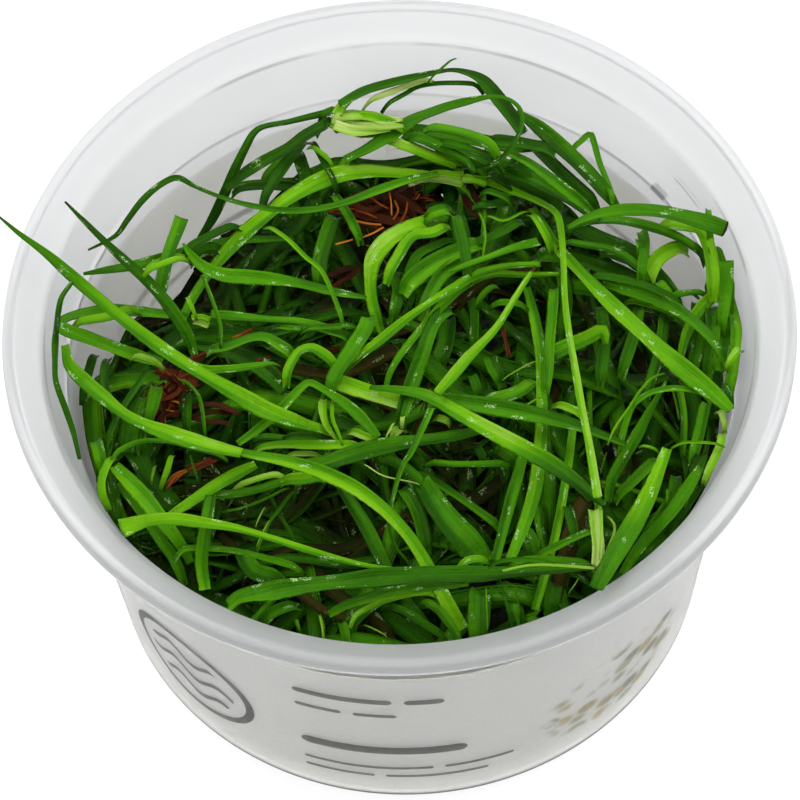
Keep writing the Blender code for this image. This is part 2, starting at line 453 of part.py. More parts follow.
def undergrowth_height(x, y):
    fall = UNDERGROWTH_FALL * (np.hypot(x, y) / UNDERGROWTH_RADIUS) ** 3 + UNDERGROWTH_SLOPE * y
    lumps = sum(share * np.sin(1 + x * along_x + y * along_y) for along_x, along_y, share in UNDERGROWTH_WAVES)
    return UNDERGROWTH_HEIGHT - fall + UNDERGROWTH_LUMP * lumps - hollow_depth(x, y)


def make_undergrowth(look, collection):
    """A lumpy heap on the floor of the tub, turned from rings and then set to its heights."""
    body = bmesh.new()
    bottom = FLOOR + FLOOR_GAP
    profile = [(radius, 1.0) for radius in np.linspace(0, UNDERGROWTH_RADIUS, UNDERGROWTH_RINGS)]
    profile += [(FLOOR_RADIUS - HEEL - WALL_GAP, 0.0), (0.0, 0.0)]
    verts = [body.verts.new((radius, 0, level)) for radius, level in profile]
    edges = [body.edges.new(pair) for pair in zip(verts, verts[1:])]
    bmesh.ops.spin(
        body,
        geom=verts + edges,
        cent=(0, 0, 0),
        axis=(0, 0, 1),
        angle=2 * math.pi,
        steps=UNDERGROWTH_STEPS,
        use_merge=True,
    )
    bmesh.ops.remove_doubles(body, verts=body.verts, dist=0.001)
    for vert in body.verts:
        x, y, level = vert.co
        vert.co.z = bottom + level * (float(undergrowth_height(x, y)) - bottom)
        vert.co *= MM
    bmesh.ops.recalc_face_normals(body, faces=body.faces)
    mesh = bpy.data.meshes.new("undergrowth")
    body.to_mesh(mesh)
    body.free()
    obj = add_object("undergrowth", mesh, look, collection)
    shade_round(obj)
    return obj


def make_blade(name, path, widths, look, collection):
    """A blade with a shallow channel along it: a grid laid along the path, and Solidify."""
    count = len(path) - 1
    across = sideways(path)
    body = bmesh.new()
    bmesh.ops.create_grid(body, x_segments=count, y_segments=2, size=0.5)
    for vert in body.verts:
        station = round((vert.co.x + 0.5) * count)
        side = 2 * vert.co.y
        point = path[station] + across[station] * side * widths[station] / 2
        drop = LEAF_CHANNEL * widths[station] * (1 - abs(side))
        vert.co = Vector((point[0], point[1], point[2] - drop)) * MM
    mesh = bpy.data.meshes.new(name)
    body.to_mesh(mesh)
    body.free()
    obj = add_object(name, mesh, look, collection)
    solid = obj.modifiers.new("thickness", "SOLIDIFY")
    solid.thickness = LEAF_THICKNESS * MM
    solid.offset = 0
    shade_round(obj)
    return obj


def make_stub(name, path, radii, look, collection):
    """A round piece that swells and tapers along its path: a curve with a bevel."""
    curve = bpy.data.curves.new(name, "CURVE")
    curve.dimensions = "3D"
    curve.bevel_depth = MM
    curve.bevel_resolution = 1
    curve.use_fill_caps = True
    spline = curve.splines.new("POLY")
    spline.points.add(len(path) - 1)
    for point, place, radius in zip(spline.points, path, radii):
        point.co = (*(Vector(place) * MM), 1)
        point.radius = radius
    return add_object(name, curve, look, collection)


def make_plants(looks, collection):
    tangle = Tangle()
    stubs = {**CROWNS, **ROOTS}
    for leaf, trace in LEAVES.items():
        for name in (n for n, before in TURNS.items() if before == leaf):
            seen, radii = smooth_path([row[:3] for row in stubs[name]], [row[3] for row in stubs[name]],
                                      Tangle.FINE)
            path = tangle.settle(seen, 2 * radii, 2 * radii.max())
            path, radii = smooth_path(path, radii, STUB_STEP)
            look = looks["crown" if name in CROWNS else "roots"]
            make_stub(name, path, radii, look, collection)
        seen, widths = smooth_path([row[:3] for row in trace], [row[3] for row in trace], Tangle.FINE)
        path = tangle.settle(seen, widths, LEAF_THICKNESS + LEAF_CHANNEL * widths.max())
        path, widths = smooth_path(path, widths, LEAF_STEP)
        make_blade(leaf, path, widths, looks["leaf"], collection)


def main():
    clear_scene()
    collection = bpy.data.collections.new("tissue culture creeping rush")
    bpy.context.scene.collection.children.link(collection)
    looks = {name: material(name) for name in COLOURS}
    make_tub(looks["tub"], collection)
    make_label(looks["label"], collection)
    make_undergrowth(looks["undergrowth"], collection)
    make_plants(looks, collection)


main()
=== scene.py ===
"""Creeping rush grown in tissue culture, in its milky plastic tub.

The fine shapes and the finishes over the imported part. Lengths in the tables are millimetres in the
frame of the part: the tub stands on z = 0 and its print faces -Y.
"""

import functools
import math

import bpy
import numpy as np
from bpy.props import FloatProperty, FloatVectorProperty, IntProperty, PointerProperty
from mathutils import Matrix, Vector


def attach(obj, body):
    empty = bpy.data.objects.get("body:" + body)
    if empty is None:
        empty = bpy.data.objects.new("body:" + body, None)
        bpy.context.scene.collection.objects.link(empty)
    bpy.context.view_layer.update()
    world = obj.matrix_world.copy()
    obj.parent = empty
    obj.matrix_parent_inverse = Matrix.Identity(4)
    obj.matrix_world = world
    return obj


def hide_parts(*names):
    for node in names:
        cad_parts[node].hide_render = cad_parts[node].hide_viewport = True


bl_info = {
    "name": "Creeping rush in its tub",
    "version": (1, 0, 0),
    "blender": (4, 5, 0),
    "location": "3D View > Sidebar > Rush",
    "description": "Tub, label, leaves and undergrowth of a tissue culture plant, over its packed part",
    "category": "Object",
}

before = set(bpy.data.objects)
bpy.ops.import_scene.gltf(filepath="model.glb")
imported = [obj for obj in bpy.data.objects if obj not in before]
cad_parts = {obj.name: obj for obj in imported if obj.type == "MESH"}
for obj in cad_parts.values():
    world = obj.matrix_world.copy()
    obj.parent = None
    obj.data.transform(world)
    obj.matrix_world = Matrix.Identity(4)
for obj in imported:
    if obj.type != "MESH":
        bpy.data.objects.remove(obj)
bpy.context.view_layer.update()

MM = 0.001

# Tub
RIM_HEIGHT = 57.8
RIM_RADIUS = 49.5
LIP_RADIUS = 50.5
LIP_HEIGHT = 55.7
MOUTH_RADIUS = 45.3
MOUTH_HEIGHT = 54.3
STEP_RADIUS = 43.0
STEP_HEIGHT = 45.7
STEP_WIDTH = 0.5
BODY_RADIUS = 42.65
BODY_HEIGHT = 41.7
FLOOR_RADIUS = 39.5
WALL = 0.7
FLOOR = 1.2
HEEL = 1.0

# Label
LABEL_THICKNESS = 0.25
LABEL_GAP = 0.25
LABEL_BOTTOM = 1.6
LABEL_TOP = 41.5
LABEL_RADIUS = 42.0  # at which the print's widths are measured
# Its plain printed bars: left and right end round the tub from the front, height of the middle, thickness
LABEL_BARS = (
    (-15.5, -3.0, 34.2, 1.5), (-1.5, 3.5, 34.2, 1.5), (-15.5, -9.5, 29.6, 1.0), (-8.0, -2.5, 29.6, 1.0),
    (-15.5, 6.5, 17.6, 2.4), (-15.5, 2.0, 11.4, 0.8), (3.5, 13.0, 11.4, 0.8), (-15.5, -6.0, 8.6, 0.8),
    (-4.5, 9.5, 8.6, 0.8), (80.0, 100.0, 30.0, 1.0), (80.0, 112.0, 26.5, 0.8), (80.0, 106.0, 24.0, 0.8),
    (80.0, 110.0, 21.5, 0.8), (-112.0, -84.0, 28.0, 1.2), (-112.0, -92.0, 24.5, 0.8),
)
LABEL_RING = (-32.5, 20.0, 9.8)  # place as for the bars, and radius
LABEL_PEBBLES = (29.0, 17.0, 13.5, 10.5)  # place as for the bars, and reach each way
LABEL_SEAM = 131.5

# How the leaves lie
LEAF_THICKNESS = 0.4  # room that each leaf takes
LEAF_CHANNEL = 0.14
LAYER_GAP = 0.45
WALL_GAP = 0.6
UNDERGROWTH_HEIGHT = 43.0
UNDERGROWTH_FALL = 5.5
UNDERGROWTH_SLOPE = 0.11
UNDERGROWTH_LUMP = 1.5
UNDERGROWTH_WAVES = ((0.31, 0.27, 0.9), (0.33, -0.24, 0.7), (-0.14, 0.5, 0.5))
# Its hollows: x, y, reach, depth
UNDERGROWTH_HOLLOWS = (
    (-32, 27, 17, 9), (34, 22, 15, 7), (-1, 26, 9, 6), (-9, 16, 8, 4.5), (-9, -19.5, 8, 5), (7, -11, 7, 4),
    (9, -20, 7, 4.5), (-25, -12, 8, 4.5), (-31, -24, 7, 4), (-19.5, -19.5, 7, 4), (29.5, -12, 6, 3.5),
    (21.5, 11.5, 8, 4),
)
UNDERGROWTH_GAP = 0.9
UNDERGROWTH_RADIUS = 38.4
DEEP_REACH = 40.0
UPPER_REACH = 40.5

# The leaves were drawn in plan where an eye at this point sees them against the plane of the rim
EYE = (0.0, -243.8, 436.0)

# Stage: the camera's lens, the floor's half width in metres, and each lamp's place, width, share of the power
SENSOR_WIDTH = 36.0
FOCAL_LENGTH = 159.82
FLOOR_SIZE = 1.5
LAMPS = {
    "key": ((-0.3, 0.28, 0.62), 0.34, 1.0),
    "fill": ((0.42, 0.1, 0.5), 0.3, 0.6),
    "front": ((-0.1, -0.5, 0.75), 0.3, 0.35),
}

# Each leaf from the bottom of the tangle up: x and y on the plane of the rim, height, width
LEAVES = {
    "leaf_01": [(-40, 8, 50.5, 0.4), (-37, 8.4, 50, 1.1), (-34, 8.8, 49, 1.6), (-31, 9.6, 48, 1.4),
                (-28, 10.5, 47, 1.2), (-24, 11.7, 45.5, 1.4), (-19, 12.1, 44, 1.2), (-13, 12, 42, 1)],
    "leaf_02": [(-27.4, 16.1, 50, 1.8), (-28, 14, 49, 1.7), (-28.8, 11.5, 47.5, 1.7),
                (-29.6, 8.5, 45.5, 1.7), (-30.2, 5, 43, 1.6)],
    "leaf_03": [(-7.8, 31.7, 50.5, 1.2), (-10.5, 31.1, 51, 1.1), (-13.5, 30.4, 50.5, 0.9),
                (-16.4, 29.9, 50, 0.9), (-17.8, 28.9, 49.5, 1.1), (-19, 26.5, 48.5, 1.2),
                (-20.5, 23, 46.5, 1.3), (-22, 19, 44, 1.3), (-23.4, 15.6, 41, 1.3), (-25, 12.6, 38, 1)],
    "leaf_04": [(-8.4, 29.8, 49.5, 1.8), (-11, 28.2, 48.7, 1.9), (-13.5, 26.2, 47.8, 1.6),
                (-16.5, 24.4, 46.5, 1.7), (-19.3, 22.4, 45, 1.7), (-21.6, 20.2, 43, 1.2)],
    "leaf_05": [(-26, -3.4, 46, 1.2), (-22.5, -4.3, 46.5, 2.2), (-19, -6, 46.5, 2.6),
                (-16.6, -8.1, 46, 2.4), (-14.6, -10.8, 45, 1.8)],
    "leaf_06": [(-23.8, 1, 46.5, 1.2), (-21, 0.6, 47, 1.4), (-17, -0.1, 47.5, 1.2),
                (-13, -0.6, 47.5, 1.2), (-9.5, -1.7, 47, 1.1), (-6, -3.2, 46, 0.8)],
    "leaf_07": [(1.8, -24.6, 45, 2.2), (3.2, -27.5, 46, 3), (5, -30.6, 46, 3.7), (7, -33.6, 45.5, 4.1),
                (9, -36.8, 45, 3.4)],
    "leaf_08": [(-8.4, -24.6, 46, 1.2), (-6.8, -27.6, 46, 1.8), (-5.3, -30.6, 46, 1.9),
                (-4, -33.8, 45.5, 1.8), (-2.8, -37, 45, 1.4)],
    "leaf_09": [(14.9, -20.8, 47.5, 1.4), (13.8, -24.6, 47.5, 1.5), (12.6, -28.4, 47, 1.5),
                (11.5, -32.4, 46.5, 1.3), (10.4, -36.4, 45.5, 1.1)],
    "leaf_10": [(16.4, 3, 47, 1), (17.2, -2, 47.5, 1.4), (17.6, -7, 48, 1.5), (17.4, -12, 48.5, 1.4),
                (17.2, -17, 48.5, 1.5), (16.6, -22, 48.5, 1.7), (15.7, -27, 48, 1.8),
                (14.2, -31.6, 47.5, 1.7), (12.2, -36.4, 46.5, 1.2)],
    "leaf_11": [(20.9, -18.4, 47, 1), (20.2, -22.6, 47, 1.1), (19.3, -27, 46.5, 1.1), (18.4, -31, 46, 1.1),
                (17.4, -35, 45.5, 1.1), (16.2, -39, 44.5, 1.1), (14.8, -43.4, 43, 1)],
    "leaf_12": [(33, -12, 49, 0.4), (30.4, -16.6, 49, 1), (28.8, -19.6, 48.5, 1.5), (26.9, -22.8, 47.5, 1.5),
                (25.2, -26, 46.5, 1.4), (24.6, -29, 45, 1)],
    "leaf_13": [(36.3, -24.6, 50, 1), (34.4, -27.6, 49.5, 1.8), (32, -30.9, 49, 2), (29.4, -33.8, 48, 1.9),
                (27.2, -36.6, 46.5, 1.5), (25.7, -39, 45, 1)],
    "leaf_14": [(32.4, -21.7, 51.5, 1.3), (31.2, -24.6, 51.5, 1.6), (29.6, -28.2, 51, 2.2),
                (27.6, -31.9, 50, 2.4), (25.4, -35.5, 49, 2.4), (23.6, -38.6, 47.5, 2.3),
                (22.4, -40.8, 46, 1.9)],
    "leaf_15": [(40.4, 0.8, 50.5, 1.5), (38.6, -1, 50.5, 1.6), (36.9, -3.4, 50, 1.5),
                (35.8, -6, 49.5, 1.2), (35, -9, 48.5, 0.9)],
    "leaf_16": [(42, 5.7, 53, 2), (41.8, 2.8, 52, 1.8), (41.3, -0.6, 50.5, 1.6), (40.6, -4.2, 49, 1.4),
                (40, -8, 47, 1.2)],
    "leaf_17": [(26, 3, 49, 0.9), (29, 1.8, 49.5, 1.5), (32, 0.6, 49.7, 1.7), (35, -1.3, 49.5, 1.7),
                (37.5, -3.8, 49, 1.6), (39.6, -6.8, 48, 1.5), (40.8, -10.2, 46, 1)],
    "leaf_18": [(7.2, 14.6, 48, 1.4), (4.4, 13.7, 49.5, 2.3), (1.2, 12.6, 50.5, 2.6), (-1.2, 10.8, 50.5, 2.6),
                (-2.9, 8.2, 49.8, 2.2), (-3.4, 5, 48.8, 1.6), (-3.3, 2, 47.8, 1.5), (-2.8, -0.6, 46.8, 1.5),
                (-2.2, -3.2, 45.5, 0.9)],
    "leaf_19": [(20.8, 4.7, 49, 0.7), (16.4, 4.8, 50, 0.9), (12, 5.1, 50.4, 1.1), (8.4, 3.4, 50.4, 1.2),
                (5.9, 1.2, 50.2, 1.2), (3.9, -1.2, 50, 1.1), (1.9, -3.8, 49.5, 1.1), (0, -6.4, 49, 1),
                (-1.4, -9, 48, 0.8), (-2.2, -12, 46.8, 0.6)],
    "leaf_20": [(18.4, 6.3, 49.6, 0.8), (14.4, 6.3, 51, 1.3), (10.4, 5.3, 51.5, 1.4), (7, 3.2, 51.5, 1.3),
                (4, 1.2, 51.2, 1.1), (1, -1, 50.8, 1.1), (-2, -3.6, 50.3, 1.2), (-5, -6.2, 49.6, 1.3),
                (-7.4, -8.6, 48.6, 1.2), (-9, -10.8, 47.5, 0.8)],
    "leaf_21": [(6.8, 5.8, 50.5, 0.4), (9.2, 6.8, 51, 0.9), (12.2, 7.9, 51.2, 1.1), (15.2, 9, 51, 1.4),
                (18.4, 9.8, 50, 1.4)],
    "leaf_23": [(4.6, 21, 48, 1.1), (1, 21.5, 49.4, 1.6), (-3, 22, 50.4, 2.2), (-7, 21.7, 50.7, 2.2),
                (-10.6, 20.2, 50.4, 2.2), (-14.2, 17.8, 49.7, 2.3), (-17.4, 15, 49, 2.3),
                (-20.2, 12.2, 48.2, 2.2), (-22.4, 9.4, 47.4, 2), (-24.4, 6.4, 46.6, 1.6),
                (-26, 3.6, 46, 1.4), (-27.4, 0.4, 45, 1)],
    "leaf_22": [(-27.2, 12, 50, 0.3), (-26.2, 10.2, 49.8, 1), (-24.7, 8.3, 49.5, 1.7),
                (-22.2, 6.9, 49.2, 2.1), (-19, 6.4, 49, 1.9), (-15.4, 5.8, 48.6, 1.8),
                (-12, 4.9, 48.2, 1.6), (-9, 3.8, 47.6, 1.4), (-6.2, 3, 47, 1), (-4, 2.4, 46.4, 0.5)],
    "leaf_24": [(6, 21.1, 48.6, 1), (2, 20.3, 49, 1.3), (-2, 18.9, 49.8, 1.4), (-6, 17.3, 50.6, 1.3),
                (-10, 16.4, 51.2, 1.1), (-14, 16.4, 51.6, 0.9), (-18, 17.3, 51.8, 0.8),
                (-22, 18.8, 51.8, 0.6), (-25.4, 20.7, 51.6, 0.5), (-27.8, 22.3, 51.2, 0.8),
                (-30, 21.4, 50.8, 0.9), (-32.4, 19, 50.6, 1), (-34.4, 16, 50.4, 0.8),
                (-36, 13.6, 50.2, 0.6), (-39.4, 11.6, 50, 0.3)],
    "leaf_25": [(-26.8, 0.8, 46.5, 1), (-29.6, 1.3, 47.5, 1.3), (-33, 1.9, 49, 1.6), (-36.6, 2.3, 50.2, 1.7),
                (-40, 2, 51.4, 1.7), (-42.3, 1.3, 52.2, 1.6), (-43, 0.4, 52.5, 1.4), (-41.9, -0.5, 52.4, 1.7),
                (-39.4, -1.7, 52, 2), (-36.6, -3.1, 51.4, 1.9), (-33.4, -4.6, 50.6, 1.8),
                (-30, -6, 49.6, 1.4)],
    "leaf_26": [(-14, -22.2, 48.6, 1.8), (-10, -21.6, 49.4, 2.2), (-6, -20.4, 50, 2.4), (-2, -19.5, 50.3, 2.3),
                (2, -19, 50.3, 2), (6, -18.6, 50.1, 1.8), (10.6, -17.8, 49.4, 0.9)],
    "leaf_27": [(4.6, -12.9, 50, 1.5), (8, -13.8, 50.6, 2), (12, -14.8, 51, 2.2), (16, -15.9, 51.2, 2.2),
                (20, -17.3, 51, 2.1), (23.4, -18.8, 50.6, 1.7), (27.4, -21, 49.6, 0.8)],
    "leaf_28": [(-4, -11, 49, 0.6), (-0.6, -11.5, 50, 1.2), (3, -12.5, 51, 1.8), (6, -14.6, 51.8, 2),
                (9, -16.8, 52.2, 2.1), (12, -18.9, 52.5, 2.1), (15, -21, 52.8, 2.1), (18, -23.2, 53.2, 2.1),
                (20.6, -25.6, 53.7, 1.9), (22.6, -27.8, 54.2, 1.5), (24, -29.4, 54.6, 0.7)],
    "leaf_29": [(-29.2, -28.2, 49.4, 1), (-26.6, -26.4, 50, 1.6), (-23.8, -24.4, 50.5, 1.9),
                (-21, -22.7, 50.7, 1.8), (-18.4, -21.4, 50.6, 1.2)],
    "leaf_30": [(-36, -20.6, 50, 1.6), (-34.4, -22.6, 49.8, 2.1), (-32.6, -24.9, 49.5, 2.2),
                (-30.9, -27.4, 49, 2), (-29.2, -30, 48.4, 1.8), (-27.6, -32.6, 47.6, 1.5),
                (-26.6, -34.8, 46.5, 1)],
    "leaf_31": [(-24, -25.4, 49, 1.4), (-24.5, -28.6, 49.6, 1.7), (-25, -31.8, 49.4, 1.6),
                (-25.3, -35, 48.4, 1.6), (-24.9, -38.6, 46.6, 1.5)],
    "leaf_32": [(-35, -29.6, 51.6, 2.6), (-32, -28.7, 52.3, 2), (-28.6, -28.6, 52.6, 1.6),
                (-25, -29.3, 52.6, 1.4), (-21, -30.3, 52.2, 1.2), (-17, -31.8, 51.8, 1),
                (-13, -33.5, 51.4, 1), (-9, -35.1, 51, 0.9), (-5, -36.4, 50.6, 0.7), (-1.4, -37, 50.2, 0.4)],
    "leaf_33": [(-20.6, -19.5, 52.8, 1.3), (-18, -20.2, 53.4, 1.5), (-15, -21, 53.8, 1.6),
                (-12, -22.1, 53.8, 1.7), (-9, -23.6, 53.6, 1.7), (-6, -25.6, 53.2, 1.8),
                (-3, -28.5, 52.4, 1.8), (-0.6, -31.6, 51.2, 1.8), (1, -34.4, 50, 1.8),
                (2.6, -37.9, 48.6, 1.8), (4.4, -42.2, 46.4, 1.9), (5.9, -45.6, 44, 1.8)],
    "leaf_34": [(-10, -42.8, 48, 1), (-7.6, -41.5, 49, 1.5), (-4.6, -40.6, 50, 1.8), (-1, -39.9, 50.8, 1.8),
                (3, -39.6, 51.2, 1.5), (7, -39.4, 51, 0.8)],
    "leaf_35": [(-22.4, -41.4, 47.6, 1.6), (-20.6, -39.8, 49, 2.6), (-17, -39.2, 50.4, 2.8),
                (-13, -38.7, 51.4, 2.2), (-8, -38.3, 52.3, 2.1), (-3, -38, 52.8, 2.3), (2, -37.9, 53, 2.4),
                (6, -38.1, 53, 2.3), (10, -38.2, 53, 2.1), (14, -38, 53, 1.8), (18, -37.9, 52.8, 1.6),
                (21.6, -37.9, 52.4, 1)],
    "leaf_36": [(-20.6, -18.3, 50.4, 1), (-18.2, -16.4, 51, 1.2), (-15.2, -13.5, 52, 1.2),
                (-12.6, -10.6, 52.8, 1.1), (-11.4, -9.9, 53, 1), (-9.4, -11.3, 52.6, 1), (-7.2, -13.1, 52, 1.4),
                (-5.2, -15.3, 51.2, 1.5), (-3.2, -18.2, 50, 0.9)],
    "leaf_37": [(17.8, 6, 54.4, 0.4), (16.4, 3.9, 54.4, 0.8), (14.9, 1.4, 54.2, 0.9), (13.4, -1.2, 54, 0.9),
                (12, -3.3, 53.6, 1), (10.4, -5.1, 53.2, 1.1), (8.6, -7, 52.8, 1.3), (6.6, -9.5, 52.2, 1.4),
                (4.4, -12.2, 51.6, 1.1)],
    "leaf_38": [(-42.5, 19.3, 60, 0.3), (-40.2, 16.4, 59.6, 0.7), (-37.4, 12.9, 58.6, 1),
                (-34.6, 9.6, 57.2, 1.4), (-32, 6.6, 55.6, 1.8), (-29.8, 3.6, 53.8, 1.8), (-28, 0.6, 52, 1.7),
                (-26.6, -2.4, 50, 1.5), (-25.9, -5, 48, 1)],
    "leaf_39": [(-51, 17.4, 62.5, 0.3), (-48.4, 14.7, 61.4, 0.7), (-44.6, 11.2, 60, 1.1), (-42, 8.4, 59, 1.4),
                (-39, 5.1, 57.8, 1.7), (-35.6, 1.5, 56.6, 1.8), (-32, -2, 55.6, 1.9), (-28.4, -5.2, 54.8, 2),
                (-24.4, -8.3, 54, 2.1), (-20.4, -11.2, 53, 2.2), (-17, -13.6, 51.8, 2.2),
                (-13.4, -15.4, 50.4, 2.1), (-9, -17.2, 48.8, 1.4)],
    "leaf_40": [(-42.2, -2.6, 52.6, 1), (-41.6, -5.6, 52.8, 1.5), (-39.8, -8, 53, 1.9), (-37.4, -10.6, 53.2, 2),
                (-35, -13, 53.6, 1.5), (-32.2, -14.9, 54, 1.6), (-29, -16.4, 54.2, 2.2), (-26, -17.7, 54.2, 2.5),
                (-23, -18.8, 54, 2.3), (-20.2, -19.7, 53.6, 1.7)],
    "leaf_41": [(17.8, 15.1, 47.5, 1.1), (19, 12.4, 48.3, 1.3), (20.2, 9.6, 49, 1.4), (22, 6.8, 50, 1.6),
                (24.4, 3.4, 51, 2), (27, -0.2, 52, 2.2), (30, -4, 53, 2.4), (33, -7.7, 53.6, 2.4),
                (36, -11.1, 54, 2.4), (38.8, -14.2, 54, 2.2), (40.6, -16.6, 53.8, 1.5)],
    "leaf_42": [(10.2, 20.2, 47.5, 0.9), (13, 19.3, 48.5, 1.1), (16, 17.6, 49.8, 1.1), (19, 15.8, 51, 1.1),
                (20.8, 14.1, 52, 1), (21.3, 11.6, 52.8, 0.9), (21.3, 7, 53.4, 0.8), (21.2, 1, 54, 0.8),
                (21.4, -5, 54.2, 0.9), (21.9, -11, 54.2, 1), (22.4, -17, 54, 1), (23, -23, 53.6, 1.1),
                (23.4, -28.2, 53, 1.1)],
    "leaf_43": [(0.6, 28.8, 48.6, 1.8), (4, 28.2, 48.8, 2), (8, 27.2, 48.8, 2), (12, 26, 48.6, 1.8),
                (16, 25, 48.2, 1.8), (20.4, 24.8, 47.5, 1.2)],
    "leaf_44": [(1.6, 27.6, 49.2, 1.6), (5, 26.5, 49.8, 2), (9.6, 24.6, 50, 2), (14, 22.2, 50, 2),
                (18, 19.6, 49.8, 2), (22, 16.6, 49.2, 1.9), (25.6, 13.2, 48.4, 1)],
    "leaf_45": [(15.2, 24, 51.3, 0.9), (18, 22, 51.5, 1.3), (21, 19, 51.5, 1.5), (24, 15.8, 51, 1.4),
                (26.4, 12.8, 50, 0.8)],
    "leaf_46": [(16.6, 30.4, 50, 1), (19.4, 27.8, 50.4, 1.8), (22.4, 24.2, 50.6, 2.2), (25.2, 20.4, 50.6, 2.4),
                (27.4, 17, 50, 2), (28.8, 14.4, 49, 1)],
    "leaf_47": [(-6.4, 32.9, 51.8, 1.2), (-3.2, 34.9, 53, 1.6), (0.4, 36, 53.8, 1.4), (4.4, 37, 54.2, 1),
                (8.2, 37.7, 54.2, 0.6), (10.6, 37.1, 54, 1.2), (12.5, 35.7, 53.8, 1.9), (14.2, 33, 53.6, 2.1),
                (15.8, 30, 53.2, 2.1), (17.2, 27, 52.8, 1.7)],
    "leaf_48": [(-6, 24, 51.4, 1.4), (-3, 25.6, 51.8, 1.9), (0, 27.6, 52.4, 2.1), (3, 29.8, 53.2, 2.1),
                (6.4, 31.3, 54.2, 1.6), (10, 32.4, 55, 1.1), (13.4, 33, 55.4, 0.6), (15.8, 32.4, 55.4, 0.6),
                (17.2, 30.6, 55, 0.6), (17.2, 28, 54.2, 0.6), (16, 25.3, 53.2, 0.7), (14, 22.8, 52.2, 0.8),
                (11.6, 21.7, 51.4, 0.5), (8.4, 21.9, 50.6, 0.4)],
    "leaf_49": [(22.2, 11.7, 53, 0.7), (25, 13.2, 54, 1.4), (28.2, 14, 54.8, 1.8), (31.4, 14, 55.4, 2),
                (34.6, 13.5, 55.8, 2.2), (37.6, 12.5, 56.2, 2.4), (40.4, 11.4, 56.6, 2.3),
                (42.4, 10.4, 57, 1.9)],
    "leaf_50": [(-41.4, 6.8, 53, 0.6), (-42.7, 4.6, 53.4, 0.7), (-43.1, 2.4, 53.6, 0.8),
                (-43.3, 0, 53.6, 0.8), (-43.5, -2.4, 53.6, 0.9), (-43.5, -5, 53.6, 0.7),
                (-43.4, -7.6, 53.4, 0.7), (-42.9, -9.6, 53.2, 0.8), (-42.1, -12, 53, 0.8),
                (-41, -15.6, 52.6, 0.7), (-40.2, -19.4, 52.2, 0.5)],
}
# The leaf bases and the root balls: x and y as for LEAVES, height, radius
CROWNS = {
    "crown_left": [(-26, 0.4, 46, 0.6), (-24.8, 0.6, 46.2, 0.7)],
    "crown_middle": [(9.2, 20.7, 47.6, 0.8), (7.2, 20.8, 47.9, 0.85), (5.4, 20.9, 48.2, 0.7)],
    "crown_back": [(-7.3, 30.8, 50.4, 0.8), (-5, 30.2, 50.6, 1.4), (-2.4, 29.5, 50.4, 1.5),
                   (-0.4, 29.1, 50, 1)],
    "crown_front": [(22.5, -37.3, 52.6, 0.6), (22.8, -34, 52.8, 0.65), (23.2, -31, 53, 0.65),
                    (23.4, -29.4, 53.1, 0.6)],
}
ROOTS = {
    "roots_left": [(-28, -7.4, 47.2, 1), (-28.8, -10, 46.6, 1.1), (-29.9, -13.6, 45.8, 0.9)],
    "roots_back": [(-5.4, 15.4, 36, 1.6), (-2.6, 16.6, 38, 3), (0.4, 16.6, 38, 3.4), (3, 16.4, 36.6, 2)],
}
# The leaf before which each of them is laid
TURNS = {
    "crown_left": "leaf_06",
    "roots_left": "leaf_23",
    "roots_back": "leaf_01",
    "crown_middle": "leaf_23",
    "crown_back": "leaf_43",
    "crown_front": "leaf_14",
}

# How bright each leaf is from its first point to its last, by its number: 0 is the darkest green. Besides each
# leaf's own green, the brightness holds painted shade where the leaf lies deep or turns down
LEAF_TONES = (
    (0.3, 0.45, 0.4), (0.5, 0.45, 0.35), (0.14, 0.1, 0.1), (0.1, 0.08, 0.08), (0.2, 0.15, 0.15),
    (0.5, 0.45), (0.35, 0.28, 0.3), (0.25, 0.2), (0.5, 0.42, 0.35), (0.5, 0.65, 0.65, 0.6),
    (0.6, 0.65, 0.55), (0.45, 0.4, 0.3), (0.5, 0.5, 0.45), (0.75, 0.75, 0.55, 0.45, 0.35), (0.55, 0.5),
    (0.5, 0.45), (0.5, 0.45), (0.55, 0.75, 1, 0.85, 0.65, 0.55), (0.6, 0.62, 0.6, 0.55),
    (0.55, 0.6, 0.65, 0.55), (0.5, 0.55, 0.5), (0.55, 0.6, 0.5, 0.45), (0.9, 0.85, 0.75, 0.7, 0.62, 0.5),
    (0.6, 0.5, 0.4, 0.35, 0.2, 0.12, 0.08), (0.45, 0.55, 0.5, 0.6, 0.5), (0.3, 0.3, 0.25),
    (0.45, 0.42, 0.35), (0.45, 0.5, 0.6, 0.85, 0.85, 0.45, 0.2, 0.2), (0.75, 0.7, 0.65), (0.6, 0.65, 0.5),
    (0.3, 0.35, 0.5, 0.75), (0.82, 0.75, 0.65, 0.6), (0.62, 0.7, 0.75, 0.75, 0.85), (0.5, 0.5),
    (0.6, 0.4, 0.25, 0.2, 0.2, 0.25), (0.5, 0.55, 0.45), (0.8, 0.8, 0.75), (0.05, 0.14, 0.28, 0.36),
    (0.3, 0.5, 0.6, 0.62, 0.68, 0.7), (0.65, 0.6, 0.65, 0.75, 0.8), (0.6, 0.7, 0.75, 0.7, 0.6),
    (0.7, 0.7, 0.8, 0.85, 0.9), (0.35, 0.4, 0.3), (0.4, 0.35, 0.3), (0.45, 0.5, 0.4), (0.25, 0.2),
    (0.3, 0.22, 0.14, 0.2, 0.15), (0.45, 0.4, 0.35, 0.42, 0.15, 0.1), (0.5, 0.5, 0.4, 0.35),
    (0.25, 0.2, 0.2),
)
TONES = dict(zip(sorted(LEAVES), LEAF_TONES))
# Length of brown at a leaf's first end and at its last
BROWN_ENDS = {"leaf_37": (1.2, 0), "leaf_38": (0.8, 0), "leaf_49": (0, 0.25)}
